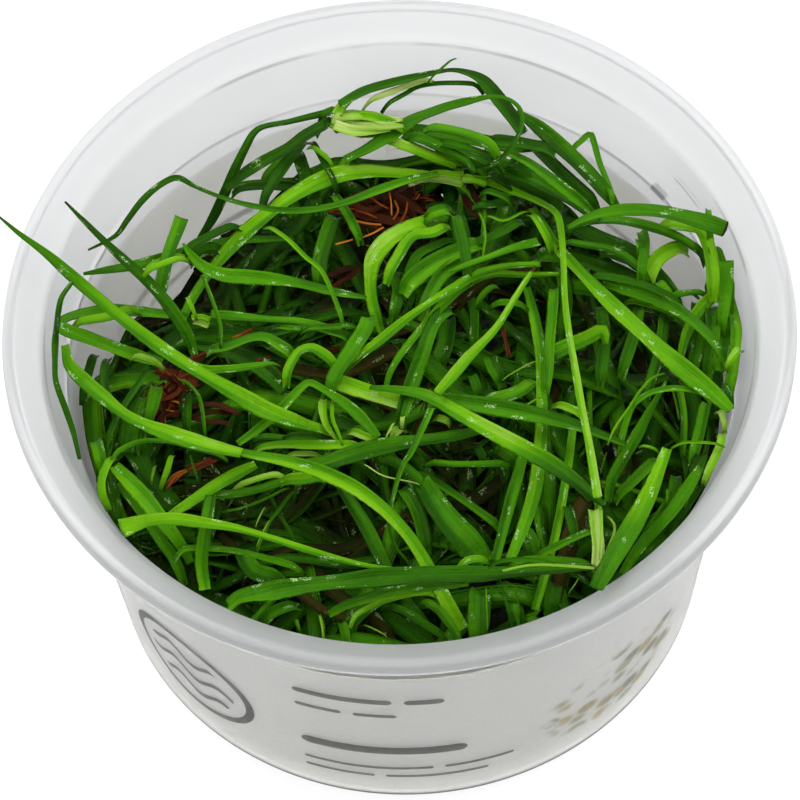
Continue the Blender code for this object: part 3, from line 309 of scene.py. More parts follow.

# The lesser leaves that can be told apart: brightness at each end, height, width, then points as for
# LEAVES, where a point may have a height and a width of its own. As in LEAF_TONES, the brightness holds painted
# shade as well as the leaf's own green
LESSER = [
    ((0.4, 0.3), 47, 1.2, [(-13, 26), (-16, 22.5), (-17, 21)]),
    ((0.12, 0.1), 46.5, 1.9, [(-21, 20.2), (-17, 20.6), (-11, 20.3)]),
    ((0.35, 0.3), 47.2, 0.5, [(-20.8, 20.9), (-17, 21.2), (-12, 21.1)]),
    ((0.3, 0.5), 55, 0.35, [(5.2, 36.1), (7.2, 38), (8.5, 39.3), (9.2, 40)]),
    ((0.2, 0.15), 49, 2.2, [(18, 26), (20, 23), (23, 19), (26, 15)]),
    ((1.3, 1.25), 53.5, 1.0, [(-3.5, 32.8, 53.5, 0.5), (-1, 34), (2, 35.2), (5, 36.3), (6.3, 36.7)]),
    ((0.2, 0.2), 53, 0.7, [(-1, 32.2), (2, 34), (4, 35.2), (7, 35.6), (11, 35.3), (12.5, 34.5)]),
    ((0.5, 0.4), 47, 1.8, [(2, 28), (6, 25.5), (10, 22.8), (13, 20.5)]),
    ((1.0, 0.9), 48, 1.2, [(1, 26.8), (4, 25), (7, 23.2), (9, 22.3)]),
    ((0.5, 0.5), 50, 0.8, [(23, 23.5), (24.5, 25), (26, 26.3), (26.5, 25), (27, 21.5), (28, 17.5),
     (28.3, 15.5)]),
    ((0.4, 0.35), 52, 1.4, [(22, 11.5, 49), (25, 12.5, 51), (28, 12.6), (31, 12, 52.5), (34, 10.8, 52.5),
                            (36.5, 9.3), (38.5, 7.5, 51), (39.5, 6, 49)]),
    ((0.9, 0.85), 51.5, 1.9, [(37.5, 8), (35.5, 7.8), (33.5, 6.5, 51), (32.3, 4.5, 50.5), (31.7, 2.5, 49),
                           (31.3, 1, 45)]),
    ((0.6, 0.5), 55, 0.9, [(40.5, 14.7), (40.3, 12, 54), (40.3, 8, 51), (40.2, 4, 48), (40, 2, 45)]),
    ((0.7, 0.6), 48.5, 1.2, [(28.7, 0.7), (33, -1), (36.5, -3.5)]),
    ((0.5, 0.5), 49, 0.8, [(3.5, 14.5), (7.5, 15.3)]),
    ((0.25, 0.2), 48, 1.5, [(9.7, 10.5), (5, 8), (1.5, 5)]),
    ((0.9, 0.8), 49, 0.6, [(-32.5, 8), (-31, 9.2), (-29, 10), (-26.5, 10.4)]),
    ((0.5, 0.5), 51, 0.7, [(-36.5, -19.5), (-35, -18.3), (-32.5, -17.3), (-29, -17.6), (-26, -18.7),
     (-22, -20)]),
    ((0.5, 0.5), 49, 1.3, [(-25, -25.5), (-20, -25.3), (-15, -24), (-12, -23)]),
    ((1.0, 0.9), 48, 1.0, [(-21.5, -24.5), (-16.5, -23), (-14.5, -23.5)]),
    ((0.8, 0.8), 49, 0.7, [(-7.5, -44), (-6.5, -42.8), (-3.5, -41.3), (0, -40.5), (3, -40.3)]),
    ((0.8, 0.8), 50, 1.3, [(-19, -19), (-15, -18.7), (-10, -19), (-5, -19.2)]),
    ((1.1, 1.0), 49, 0.9, [(-15, -20), (-10, -20.3)]),
    ((0.9, 0.8), 51, 1.1, [(-9.8, -11.5), (-10, -14), (-9.5, -16.5, 50, 0.8), (-8, -18.5, 49, 0.5)]),
    ((0.6, 0.6), 50.5, 1.4, [(-14.5, -9.5), (-14, -7.5), (-12.8, -5.3), (-11.5, -4.7), (-10.5, -5), (-9, -6.3),
                             (-8, -7.3)]),
    ((0.6, 0.5), 51, 1.0, [(-28.5, -5), (-25, -7), (-22, -7.3), (-18, -7), (-15, -6.5, 51, 0.3)]),
    ((0.5, 0.5), 49, 1.6, [(-24.5, -4), (-22, -4), (-19, -2.9), (-17, -2.8), (-15.5, -3.8), (-14, -5),
                           (-13.2, -5.8)]),
    ((0.5, 0.4), 47.5, 1.0, [(-16.5, -1), (-13, -1.7), (-9, -1.9), (-5, -1.5)]),
    ((0.5, 0.4), 50, 0.5, [(-25, 7.5), (-24.3, 5.5), (-23.2, 2), (-22.5, -1), (-22.6, -3.5)]),
    ((0.5, 0.4), 48.7, 0.5, [(-28, -8), (-26.5, -9.5), (-25.5, -11), (-25, -13), (-24.8, -15), (-24.7, -16.5)]),
    ((0.25, 0.2), 50, 0.9, [(-31, -6), (-33, -9), (-35, -12.5), (-36.3, -15.5), (-37.3, -19, 48),
                            (-38, -22, 46)]),
    ((0.25, 0.2), 50, 1.2, [(-36.8, -4), (-37.2, -7), (-37, -10), (-35.8, -13)]),
    ((0.3, 0.25), 46, 2.4, [(-30.5, -8), (-32, -13), (-35, -17)]),
    ((0.5, 0.5), 49, 1.7, [(-38.5, -16), (-38, -18), (-37.5, -20.5)]),
    ((0.8, 0.75), 50, 1.1, [(-35.9, -18.7), (-36.9, -20.6), (-37.5, -22.8), (-37.4, -24.6), (-37, -26.2)]),
    ((0.5, 0.4), 48, 1.4, [(-35.5, -22), (-34, -25), (-32.5, -27.5), (-30.5, -31), (-28.7, -34), (-27.5, -37)]),
    ((0.6, 0.5), 49, 0.9, [(-28.7, -33.7), (-27, -32.8), (-24, -33), (-21, -33.5), (-17, -34.8), (-13, -36.3)]),
    ((0.5, 0.4), 48, 0.9, [(2.3, -22), (6, -22.6), (10, -22.8), (13, -22.7)]),
    ((0.5, 0.4), 44.6, 1.2, [(0, -23.3), (3, -24.7), (6, -27), (9, -29.7), (11.5, -32)]),
    ((0.6, 0.5), 49, 1.4, [(20, 3.5), (19.5, -1), (18.8, -6), (18.6, -9.5, 49, 1), (18, -13, 49, 0.8)]),
    ((0.6, 0.5), 47.1, 1.2, [(23, -32.5), (20, -33.8), (17, -35.3), (15, -36)]),
    ((0.6, 0.5), 43.9, 1.5, [(31.5, -22.7), (29.5, -24.5), (27.5, -26.5), (25.5, -28.3)]),
    ((0.6, 0.5), 52, 0.8, [(26.5, -22, 48), (27, -19.5, 49.5), (28.3, -16, 51), (29.5, -14.5),
     (31.5, -13.4, 52.5),
                           (34, -13.1, 53), (36.5, -13.6, 53), (38.5, -14.7, 53)]),
    ((0.7, 0.7), 51, 0.35, [(25.2, -20.5), (26.5, -18), (28, -15.8), (29.5, -13.5), (31, -11.8), (33, -10.5)]),
    ((0.5, 0.5), 45.9, 0.9, [(34.5, -12), (34.8, -17), (34.3, -22)]),
    ((1.0, 0.9), 51, 1.1, [(39.5, -19), (38.7, -23), (37.2, -26.5)]),
    ((0.7, 0.7), 52, 0.4, [(29, -21), (31.3, -21.8)]),
    ((0.7, 0.7), 52, 0.4, [(33, -21.3), (35, -21), (38, -21.3), (40, -21.7)]),
    ((0.95, 0.85), 53.2, 1.1, [(43, -7), (42, -8.3), (40.8, -10)]),
    ((0.45, 0.75), 48, 2, [(17.9, -7.7), (20.7, -6.4), (23.6, -5.1), (25.6, -4.1), (25.9, -5.6, 48, 0.8)]),
    ((1.1, 1.1), 45.7, 1.4, [(-1.5, -18), (0, -16.7)]),
    ((1.0, 1.0), 42.7, 1.2, [(3.5, -15.5), (6, -16.5)]),
    ((0.75, 1.05), 49, 2.3, [(-9.3, -9.4), (-5.5, -11.1), (-2, -12.6), (1, -13.8)]),
    ((1.1, 0.9), 51, 1.0, [(-7, 31), (-3, 31), (0, 30), (3, 29.5)]),
    ((1.0, 0.9), 50, 1.0, [(-7, 30), (-3, 28.5), (0, 27.5)]),
    ((0.5, 0.5), 49.7, 0.8, [(12, -36.8), (15, -36.4), (19, -36.8), (22.3, -37.3)]),
    ((0.4, 0.5), 49, 0.4, [(8.4, 21.9), (5.5, 23), (3, 25), (1, 26.3)]),
    ((0.12, 0.1), 50, 1.6, [(-10.8, 28.2), (-13.9, 23.6), (-17, 18)]),
    ((0.15, 0.12), 49, 1.8, [(-12.4, 26.4), (-11.3, 21.9), (-9.7, 16.5)]),
    ((0.15, 0.12), 51, 0.9, [(-10.5, 28), (-9, 24.1), (-7.2, 19.8)]),
    ((0.22, 0.18), 48.5, 3, [(20.1, 13.2), (23.1, 11.7), (26.2, 9.7), (29.3, 7.7), (32.6, 4.5)]),
    ((0.38, 0.3), 51, 1.2, [(21, 9.9), (24.2, 9), (27.4, 8.1), (29.8, 6.4), (32.1, 3.5)]),
    ((0.3, 0.25), 47.5, 3, [(18, 8.2), (21, 7.6), (24.7, 6.4), (28.4, 4.2), (32.8, 0.6)]),
    ((0.55, 0.45), 50.5, 1.4, [(31.5, 11.7), (31.9, 8.6), (31, 4)]),
    ((0.3, 0.25), 51, 1.2, [(24, 4.2), (26.5, 4), (30.2, 2.9), (33.3, 1.3), (36.1, -1)]),
    ((0.18, 0.15), 47.5, 2.6, [(31.3, 6.9), (32.3, 4.7), (33.6, 2.4), (35.2, -1)]),
    ((0.35, 0.3), 51, 0.9, [(33.7, 0.4), (37.1, 1), (39.6, 0.9)]),
    ((0.3, 0.25), 46.5, 2.6, [(21, 3), (25.7, 2), (30.7, 0.3), (36.5, -2.9)]),
    ((0.12, 0.1), 43.3, 3, [(34.2, -9.6), (35, -12.6), (35.9, -16.3), (35.4, -21)]),
    ((0.15, 0.1), 40.8, 2, [(38.6, -5.4), (39.3, -8.4), (39.9, -12.1), (39.6, -17)]),
    ((0.15, 0.12), 49.5, 1.3, [(-27.4, 10.7), (-25.1, 12.2), (-21.8, 14), (-19.6, 14.7)]),
    ((0.12, 0.1), 48, 1.8, [(-26.5, 9.6), (-24.4, 10.8), (-22.2, 11.4)]),
    ((0.12, 0.3), 51.2, 1.2, [(-9.2, 31.2), (-7.5, 32), (-6.4, 32.4)]),
    ((0.1, 0.2), 51, 1.5, [(-9.8, 29.1), (-8.1, 30.1), (-6.9, 30.6)]),
    ((0.5, 0.6), 39.5, 1.3, [(-5, 25), (-6.1, 23.5), (-6.9, 22.3)]),
    ((1.1, 0.8), 49.8, 0.8, [(8.6, 20.3), (9.8, 20.4), (11, 19.7)]),
    ((0.45, 0.3), 55.6, 0.6, [(17.9, -37), (13, -36.4), (9.6, -36.7)]),
    ((0.1, 0.12), 49.5, 1.1, [(-31.8, -8.4), (-34.9, -13.1), (-36.1, -15.6), (-37.3, -20.6)]),
    ((0.15, 0.15), 48, 0.6, [(-36.9, -20.6), (-36.7, -23.5), (-36.1, -28.4)]),
    ((0.35, 0.3), 47, 1, [(-36.3, -21.6), (-35.7, -25), (-35.3, -28)]),
    ((0.12, 0.1), 45, 2.7, [(-34.1, -17.4), (-32, -21.8), (-30, -25.2), (-27.9, -27.2)]),
    ((0.45, 0.35), 47, 2.3, [(-32.4, -9.8), (-33.7, -13.9), (-34.5, -17.9)]),
    ((0.6, 0.4), 48.5, 1.9, [(-30.7, -8.4), (-31, -11.3), (-31.8, -14.2)]),
    ((0.3, 0.25), 46, 1.6, [(-32.6, -14.4), (-32.8, -18.5)]),
    ((0.9, 0.7), 46, 0.8, [(-28.7, -18.7), (-29.5, -22), (-30.4, -23.8)]),
    ((0.8, 0.8), 46, 0.4, [(-30.8, -20.5), (-31.4, -23.1)]),
    ((0.25, 0.2), 46, 1.3, [(-26.9, -9.6), (-27, -15.4)]),
    ((0.3, 0.25), 46.5, 0.3, [(-26.6, -19.3), (-26.1, -21.4), (-25.5, -23.4)]),
    ((0.3, 0.25), 46, 1.2, [(-18.8, -17.3), (-16.3, -17.6), (-12.9, -18.2)]),
    ((0.6, 0.6), 47, 0.4, [(-22.6, -27.6), (-20.6, -27.6), (-16.9, -26.2), (-14.4, -24.6)]),
    ((0.25, 0.2), 46, 0.5, [(-17.1, -25), (-15.9, -28.1), (-13.8, -32.4)]),
    ((0.4, 0.35), 46, 0.4, [(-13.6, -24.9), (-15.7, -27.9), (-17, -29.7), (-18.7, -33.7)]),
    ((1.1, 1), 46.5, 0.2, [(-17.4, -27.3), (-18.6, -30)]),
    ((0.9, 0.9), 46.5, 0.2, [(-16.9, -29.2), (-18.5, -32.8)]),
    ((0.3, 0.2), 44, 2.3, [(-20.7, -32.7), (-18.9, -36.3), (-15.5, -37.6)]),
    ((0.3, 0.3), 43, 1.4, [(-13.4, -40.9), (-16.4, -41.9), (-18.2, -43.3)]),
    ((0.45, 0.4), 50, 1.2, [(1.7, -10.1), (1.1, -12.3), (-0.2, -16.3)]),
    ((1, 1.2), 50, 0.6, [(0.1, -14.9), (-0.2, -16.6)]),
    ((1.1, 1.1), 50, 0.3, [(-1.1, -16), (-1.8, -17.5), (-2.3, -18.3)]),
    ((0.5, 0.35), 52.5, 0.9, [(3.9, -13.4), (2.6, -16.7), (0.8, -20.7), (-0.2, -22.3, 52, 0.7),
     (-1.3, -25.6, 51, 0.6), (-2.2, -30.4, 50, 0.5), (-1.6, -33.9, 48, 0.4), (0.3, -36.6, 46, 0.3)]),
    ((1.3, 1.2), 50, 0.2, [(-5.2, -21.8), (-3.2, -23.6), (-1.2, -24.4), (1.6, -25.1)]),
    ((0.35, 0.3), 48, 1.4, [(-3.3, -21.1), (-0.3, -22.5), (2.4, -25.5)]),
    ((0.35, 0.3), 47, 1.9, [(-0.8, -24.9), (0.9, -28), (1.7, -31.1), (2.1, -34.4)]),
    ((0.7, 0.6), 50.5, 1.5, [(-15.5, -23.4), (-12.8, -23.7), (-10, -23.1)]),
    ((0.22, 0.2), 44, 1.1, [(8.8, -19.7), (9.8, -22.4)]),
    ((0.3, 0.3), 46, 1.9, [(11.1, -20), (12.6, -21.3), (14, -22.8)]),
    ((0.7, 0.6), 47, 1.1, [(5.6, -37), (7.6, -36.1), (10, -36.3)]),
    ((0.95, 0.9), 44.3, 0.4, [(-11.1, -42.4), (-10.8, -44.2), (-10.7, -46)]),
    ((0.55, 0.5), 46, 1.2, [(-8.7, -43.2), (-8.2, -44.8), (-8, -46.3)]),
    ((0.6, 0.5), 43.1, 0.5, [(-14.1, -42.9), (-13.6, -44.7)]),
    ((0.3, 0.3), 45, 1.1, [(-3.7, -41.6), (-0.7, -42.9), (2, -45.1), (3.9, -46.3)]),
    ((0.5, 0.4), 46, 1.2, [(1, -40.9), (3.3, -42.9), (4, -44), (5.5, -46.4)]),
    ((1, 1), 45, 0.2, [(-5.9, -44.2), (-3.2, -45.9)]),
    ((0.3, 0.25), 46, 2.8, [(8.4, -39.5), (8.1, -43.3), (7.7, -47)]),
    ((0.8, 0.7), 46.8, 0.2, [(9.1, -40), (9, -45.6)]),
    ((0.25, 0.2), 45, 1.6, [(10.9, -38.7), (12.2, -41.3), (13, -44.9)]),
    ((0.75, 0.7), 51.5, 0.5, [(-8.6, -11.8), (-8.8, -15.2), (-7.7, -18.6)]),
    ((1, 0.9), 49, 1.2, [(-7.1, -16.7), (-5.1, -17.9), (-3.1, -18.9)]),
    ((0.28, 0.22), 47, 1.4, [(-15.4, -17.6), (-12.5, -17.7), (-9.6, -18)]),
    ((0.8, 0.7), 50, 0.3, [(17.2, -13.3), (15.9, -14.3), (14.4, -15)]),
    ((0.95, 0.8), 46.7, 1.2, [(18.3, -14.3), (20.3, -15.1), (22.7, -16.5)]),
    ((0.8, 0.7), 43.4, 0.3, [(33.7, -13), (34, -15.2), (34.2, -17.4)]),
    ((0.28, 0.25), 47, 1.7, [(33.3, -24.8), (32.7, -28.3), (30.7, -31.7), (28.8, -34.1)]),
    ((0.6, 0.55), 48, 0.4, [(32, -27.1), (31.8, -29.9)]),
    ((1.25, 1.15), 51.5, 0.8, [(39, -16), (39.5, -17.2), (39.8, -19)]),
    ((0.5, 0.4), 49, 1.5, [(38, -14.5), (37.3, -16.9), (36.5, -19.9), (35.4, -23.5)]),
    ((0.3, 0.3), 51, 0.9, [(40, -12.2), (40.7, -13.7), (41, -15.4)]),
    ((0.15, 0.12), 49, 1.9, [(36.8, -21.9), (36.1, -24), (34.9, -26.5)]),
    ((0.25, 0.2), 48, 0.8, [(36.9, -25.7), (35.9, -27.7), (34, -30.4), (31.4, -33.1)]),
    ((0.95, 0.9), 49.5, 0.2, [(36.3, -25.4), (35.2, -27.5), (34, -30)]),
    ((1.15, 1.1), 44.8, 0.35, [(24.4, -30.6), (25.1, -32.3), (24.8, -33.9), (23.9, -35.7)]),
    ((0.6, 0.6), 45, 0.2, [(24.9, -21.7), (23.9, -24.8)]),
    ((0.3, 0.25), 46, 1.3, [(19.5, -28.3), (20, -31.6), (20.4, -33.9)]),
    ((0.28, 0.22), 45, 2.2, [(17.6, -39.1), (17.1, -41.1), (16.6, -43.3)]),
    ((0.3, 0.3), 45, 1.8, [(10.8, -39.6), (11.9, -41.3), (12.3, -44.7)]),
    ((0.9, 0.8), 43.6, 0.2, [(20.4, -39.2), (19.8, -40.3), (19, -41.3)]),
    ((0.35, 0.3), 46, 2, [(13.7, -31.5), (14.9, -34.1), (15, -35.9)]),
    ((0.5, 0.5), 55, 1.5, [(4.3, 28.9), (8.5, 27.8), (11.9, 26.2), (14, 24)]),
    ((0.35, 0.3), 54, 1.5, [(2.3, 27.8), (6.4, 25.4), (10.7, 22.1)]),
    ((0.3, 0.25), 54, 1.4, [(5.9, 26.5), (10.3, 24.7), (14.3, 22.4)]),
    ((0.2, 0.2), 52.5, 1.8, [(12.2, 26.2), (16.8, 25.4), (21.3, 24.1)]),
    ((0.25, 0.2), 52, 2, [(15, 23.1), (18.5, 20.7), (21.5, 18)]),
    ((0.15, 0.12), 50.5, 2.8, [(12.4, 22), (17.1, 18.6), (21.3, 15.2)]),
    ((0.15, 0.12), 48, 2.4, [(7.8, 15.5), (8.5, 11.4), (8.9, 7.7)]),
    ((0.45, 0.4), 49.5, 0.6, [(11.8, 18.9), (11.5, 13.3), (10.9, 7.6)]),
    ((0.75, 0.7), 51, 0.4, [(12, 14.6), (14.1, 13.3), (17.4, 15)]),
    ((0.75, 0.65), 51, 1.1, [(17.4, 15), (18.8, 12.1), (20, 8.9)]),
    ((0.45, 0.4), 49, 1.2, [(-8.1, 19.5), (-6, 15.5), (-4.4, 11.5)]),
    ((0.75, 0.7), 52, 0.7, [(-10.9, 27), (-9.3, 25.4), (-7.6, 23.6)]),
    ((0.8, 0.75), 57, 0.9, [(-32.6, 7.8), (-29.6, 9.1), (-26.6, 10.2)]),
    ((0.75, 0.7), 51, 1.5, [(-41.6, 0.7), (-38.9, 1), (-36.4, 1.4), (-32.9, 2.8)]),
    ((1.05, 0.95), 53, 0.9, [(-34, -4.2), (-32, -5.1), (-29.9, -6.1)]),
    ((0.15, 0.12), 45.1, 1.2, [(-38.4, -3.4), (-39.3, -7.1), (-40.1, -10.7)]),
    ((0.15, 0.12), 42.9, 1, [(-37.1, -4.2), (-37.2, -7.5), (-37.4, -10.9)]),
    ((0.85, 0.75), 49.9, 0.6, [(-26.9, 4.4), (-26.4, 2.7), (-25.7, 0.9)]),
    ((0.85, 0.75), 52, 1.9, [(34, 12), (37.2, 11.4), (39.2, 10.5), (40, 7.5), (40.2, 4), (40, 0.4)]),
    ((0.5, 0.45), 50.5, 1.9, [(41.8, 9.4), (42, 4.2), (41.4, -1.8), (39.9, -9.9)]),
    ((0.65, 0.55), 50.5, 1.5, [(42.9, 5.1), (42.8, -0.4), (42.1, -7.1), (40.7, -14)]),
    ((0.35, 0.3), 49.5, 1.9, [(39.7, -0.2), (39.4, -5.5), (38.3, -10.9)]),
    ((0.4, 0.35), 49, 1.8, [(37.9, 0.5), (37.7, -4.6), (36.6, -10.2)]),
    ((0.15, 0.12), 50, 1.7, [(26.1, 8.3), (28.8, 6.9), (31.5, 5.1)]),
    ((0.45, 0.4), 51, 0.9, [(31.1, 10.5), (31.2, 7.9), (31.1, 5.1)]),
    ((0.65, 0.55), 50, 1.3, [(32.8, 3.6), (33.8, 1.9), (34.8, 0.2)]),
    ((0.5, 0.45), 50, 0.9, [(34.5, 1.1), (36.4, 1), (38.2, 1.2)]),
    ((0.95, 0.9), 42.5, 1, [(43.1, -7), (42.1, -8.6), (40.9, -10.1)]),
    ((0.3, 0.25), 47, 1.8, [(20.9, 6.6), (21.3, 0.8), (20.5, -4.5)]),
    ((0.35, 0.3), 48, 1.6, [(30.7, 0.3), (29.5, -4.9), (27.6, -10.3)]),
    ((0.3, 0.3), 48, 1.5, [(33.7, -1.4), (32.6, -7.3), (30.6, -13.4)]),
    ((0.3, 0.25), 47, 1.7, [(25.6, 0.5), (25.7, -5.5), (24.8, -11.4)]),
    ((0.6, 0.55), 51, 1, [(4, 14.2), (5.8, 14.8), (7.6, 15.2)]),
    ((0.7, 0.6), 51.5, 1.6, [(7.3, 13.5), (5.1, 12), (2.2, 11.5), (0.3, 8.5), (-1.4, 5.3)]),
    ((0.4, 0.35), 50, 1.3, [(8, 11.2), (5, 9.9), (2.6, 8.4), (1, 4.4)]),
    ((0.55, 0.5), 50, 2.4, [(0.7, 3.6), (2.7, 5.6), (4.9, 7.3), (7.6, 8.8), (11.5, 10.4)]),
    ((0.5, 0.4), 50, 1.8, [(2.9, -0.5), (4.3, 2.9), (5.8, 5.4), (7.4, 6.7), (10.5, 8.2)]),
    ((0.35, 0.3), 52.5, 1.5, [(7.7, 15.5), (8.4, 12.1), (8.9, 7.6), (9, 4.8)]),
    ((0.65, 0.6), 50.7, 0.35, [(10.9, 15.1), (11.4, 12.9), (11.5, 10.8), (11, 7.8)]),
    ((0.35, 0.3), 50, 1.4, [(9.5, 9.9), (13.4, 11.4), (16.8, 13.7)]),
    ((0.3, 0.25), 47.5, 2, [(-7.4, 16.1), (-8.6, 12.8), (-9.7, 8.6), (-10, 5.1)]),
    ((0.85, 0.5), 50, 0.65, [(-16.8, 14.6), (-13.9, 12), (-11.6, 9.1), (-9.6, 6.8), (-8.2, 3), (-7, -1.3)]),
    ((0.45, 0.4), 49.5, 0.7, [(-12.5, -1), (-10.2, -2), (-7.9, -2.9), (-5.9, -3.8)]),
    ((0.4, 0.35), 49.6, 0.8, [(-12.5, -1.6), (-8.8, -1.7), (-5, -1.4)]),
    ((0.55, 0.5), 50, 2.1, [(-3.9, 0.6), (-4, -1.5), (-5.8, -4.8), (-7.9, -8.1), (-9.1, -11)]),
    ((0.4, 0.3), 49.5, 1.9, [(7, 0.7), (4.5, -1.7), (2.6, -6.9), (1, -11.5), (-0.3, -15.9)]),
    ((0.3, 0.25), 47, 2.3, [(6.3, -0.2), (5.8, -4.5), (4.6, -8.1)]),
    ((0.3, 0.25), 45.4, 1.3, [(9.2, 2.4), (9.6, -0.6), (9.2, -5.6)]),
    ((0.5, 0.45), 47.6, 0.8, [(9.9, 1), (11.3, 2.6), (13, 3.9)]),
    ((0.5, 0.45), 49, 1, [(11.6, 0.9), (14.2, 0.7), (16.5, 0.3)]),
    ((0.3, 0.25), 44.6, 1.9, [(11.1, -6.2), (11.5, -8.5), (12.6, -11)]),
    ((0.9, 0.9), 49, 0.2, [(12.6, -10.6), (14.8, -9.3), (16.9, -8)]),
    ((0.45, 0.6), 47.5, 2.2, [(9.9, -13.8), (12.6, -13.3), (15, -12.3), (17.3, -10.4)]),
    ((0.3, 0.3), 47, 1.3, [(8.7, -9), (9.6, -12.7)]),
    ((0.35, 0.3), 46, 1.5, [(-1.6, -0.7), (1, -1.8), (3.7, -3.3)]),
    ((0.3, 0.25), 48.5, 1.6, [(-1.6, 7.3), (0.1, 3.8), (-0.7, -0.5)]),
    ((0.3, 0.25), 48, 1.5, [(1.1, 5.2), (2.8, 3.9), (3.7, 1.8)]),
    ((0.25, 0.2), 46, 1.8, [(-0.9, -3.3), (0.9, -6.3), (1.5, -8.6)]),
    ((0.4, 0.35), 46.5, 1.4, [(-7.4, -4.7), (-6.2, -4.1), (-4.8, -3.7)]),
    ((0.35, 0.3), 51, 1, [(11.2, 18.5), (12.9, 17.8), (15.5, 16.4)]),
    ((0.2, 0.15), 50, 1.6, [(10.1, 16.3), (12.6, 15.9), (17, 16.7)]),
    ((0.5, 0.45), 50, 1.1, [(3.9, 14.9), (5.7, 15.6), (7.7, 16)]),
]

# The sheaths of each leaf base, as LESSER
SHEATHS = {
    "crown_back": [
        ((1.2, 1.35), 53.2, 1.9, [(-7.7, 30.3), (-5, 29.9), (-2.1, 30), (1.7, 30, 54, 0.5)]),
        ((1.25, 1.1), 53.8, 1.7, [(-7.4, 29.7), (-4.5, 28.5), (0.1, 28.4, 54, 0.4)]),
        ((1.1, 0.8), 52.6, 2, [(-7.3, 29.2), (-6.1, 29.4), (-3.7, 28.3), (-1.2, 27.7, 53, 0.6)]),
        ((0.95, 0.75), 53.6, 1.6, [(-6.4, 30.9), (-3.1, 30.9), (-0.2, 29.7), (1.8, 28.2, 54, 0.8)]),
        ((1, 0.7), 53, 1.5, [(-0.3, 26.9), (2.5, 25.4), (5.4, 23.8), (8.3, 22.2, 52, 0.8)]),
        ((1.3, 1.05), 53.7, 1.5, [(-7.8, 29.9), (-4.6, 29.3), (-1.2, 29.1), (1.8, 28.9, 54, 0.5)]),
        ((1.05, 0.6), 54, 1.6, [(-6.8, 31.4), (-6.1, 32.7), (-5, 33.9, 54.6, 1.3)]),
    ],
    "crown_middle": [
        ((1.35, 1.1), 49.6, 1.5, [(2, 19.9), (4.2, 20.6), (6.6, 20.3), (9.1, 19.5)]),
        ((1.2, 0.9), 49.8, 1.2, [(2.9, 20.2), (5.9, 21.1), (9, 20.5)]),
        ((1, 0.6), 49.9, 0.9, [(9, 20), (10.7, 19.7), (12.1, 19)]),
    ],
    "crown_left": [
        ((1.25, 1.1), 48, 1, [(-26, 0.1), (-25.2, -0.1), (-24.1, -0.7)]),
        ((1.1, 0.8), 48.3, 0.8, [(-26.2, 0.6), (-25, 0.7), (-23.9, 0.2)]),
    ],
    "crown_front": [
        ((1.1, 1.3), 54.2, 1.5, [(22.8, -29.8), (22.9, -32.4), (23, -35), (22.7, -37.6)]),
        ((1, 1.2), 54.3, 0.4, [(23.7, -30), (23.5, -33.5), (23.1, -36.9)]),
        ((1.1, 0.95), 56, 0.35, [(22.3, -38.1), (18.2, -37.5), (14.5, -37.3), (11.2, -37.9)]),
    ],
}

# Dead leaf bases and roots that can be told apart, as LESSER with one brightness: 0 is the darkest brown
DEAD = {
    "roots_back": [
        (0.0, 47, 2, [(9, 18.8), (9.9, 16.8), (11.3, 14.7)]),
        (0.1, 46, 2, [(-5.5, 18.1), (-3.6, 17.3), (-1, 17.6)]),
        (0.12, 46, 2.6, [(-0.2, 18.3), (1.8, 17.2), (3.1, 14.8)]),
        (0.05, 45, 2.8, [(-5.4, 15.7), (-2.8, 15.1), (-0.3, 14.5), (2.1, 15.3)]),
        (0.05, 44, 2.6, [(-2.7, 12.7), (-0.7, 14.5), (0.6, 16.8)]),
        (0.8, 48, 0.2, [(-0.5, 19.1), (-0.3, 17.4), (-0.3, 15.4)]),
        (0.75, 48, 0.3, [(-5.2, 14.9), (-3.5, 14.3), (-1.7, 14)]),
        (0.85, 48, 0.25, [(-4.3, 12.1), (-2.9, 12.7), (-1.4, 13.6)]),
        (0.85, 48, 0.25, [(-7.7, 11.3), (-6.5, 11.6), (-5.4, 11.9)]),
        (0.6, 47.6, 0.3, [(0.2, 17.8), (0.6, 16.1), (-0.1, 14.7)]),
        (0.55, 47.6, 0.3, [(-3.1, 18.5), (-1.8, 17.2), (-0.6, 16.4)]),
        (0.5, 47.6, 0.25, [(1.8, 17.5), (1.5, 15.8), (0.7, 14.2)]),
        (0.5, 47.6, 0.25, [(-5, 16.4), (-3.6, 15.9), (-2.2, 15.1)]),
        (0.9, 48, 0.35, [(-2.7, 19.7), (-1.3, 19.9), (0.3, 20)]),
    ],
    "roots_left": [
        (0.45, 47.5, 1.2, [(-27, -5.5), (-24.7, -4.6), (-22.4, -3.8)]),
        (0.4, 47.5, 1.4, [(-30.4, -11.2), (-28.7, -9.7), (-27.4, -7.7)]),
        (0.5, 47.5, 1, [(-21.5, -2.7), (-19.9, -2), (-18.3, -1.3)]),
        (0.35, 47, 1.1, [(-18.2, -6.3), (-17.1, -6), (-16.1, -5.6)]),
        (0.35, 47, 2.2, [(-29.4, -8.5), (-30.5, -11.1), (-31.1, -13.3)]),
        (0.15, 46, 2, [(-31.1, -9.1), (-31.5, -12), (-31.9, -13.4)]),
        (0.6, 47, 0.9, [(-27, -21.3), (-28.1, -21.9), (-29.7, -23.6)]),
        (0.3, 46, 1.3, [(-23.3, -19.9), (-25.2, -20.5), (-27.1, -21.3)]),
        (0.0, 45, 2.2, [(-20.6, -14.3), (-23.6, -13.2), (-27.5, -13.3)]),
        (0.15, 45.5, 0.8, [(-10.5, -4.6), (-8.9, -4.9), (-7.2, -4.6)]),
        (0.35, 46, 0.6, [(13.1, -2.4), (13.4, -4.7), (13.7, -7.1)]),
        (0.05, 44, 2.2, [(-11.3, 0.1), (-9.6, 0.2), (-7.4, 0.8)]),
        (0.08, 43, 2.6, [(-8.8, 5.7), (-6.4, 6.8), (-4.5, 7.8)]),
    ],
}


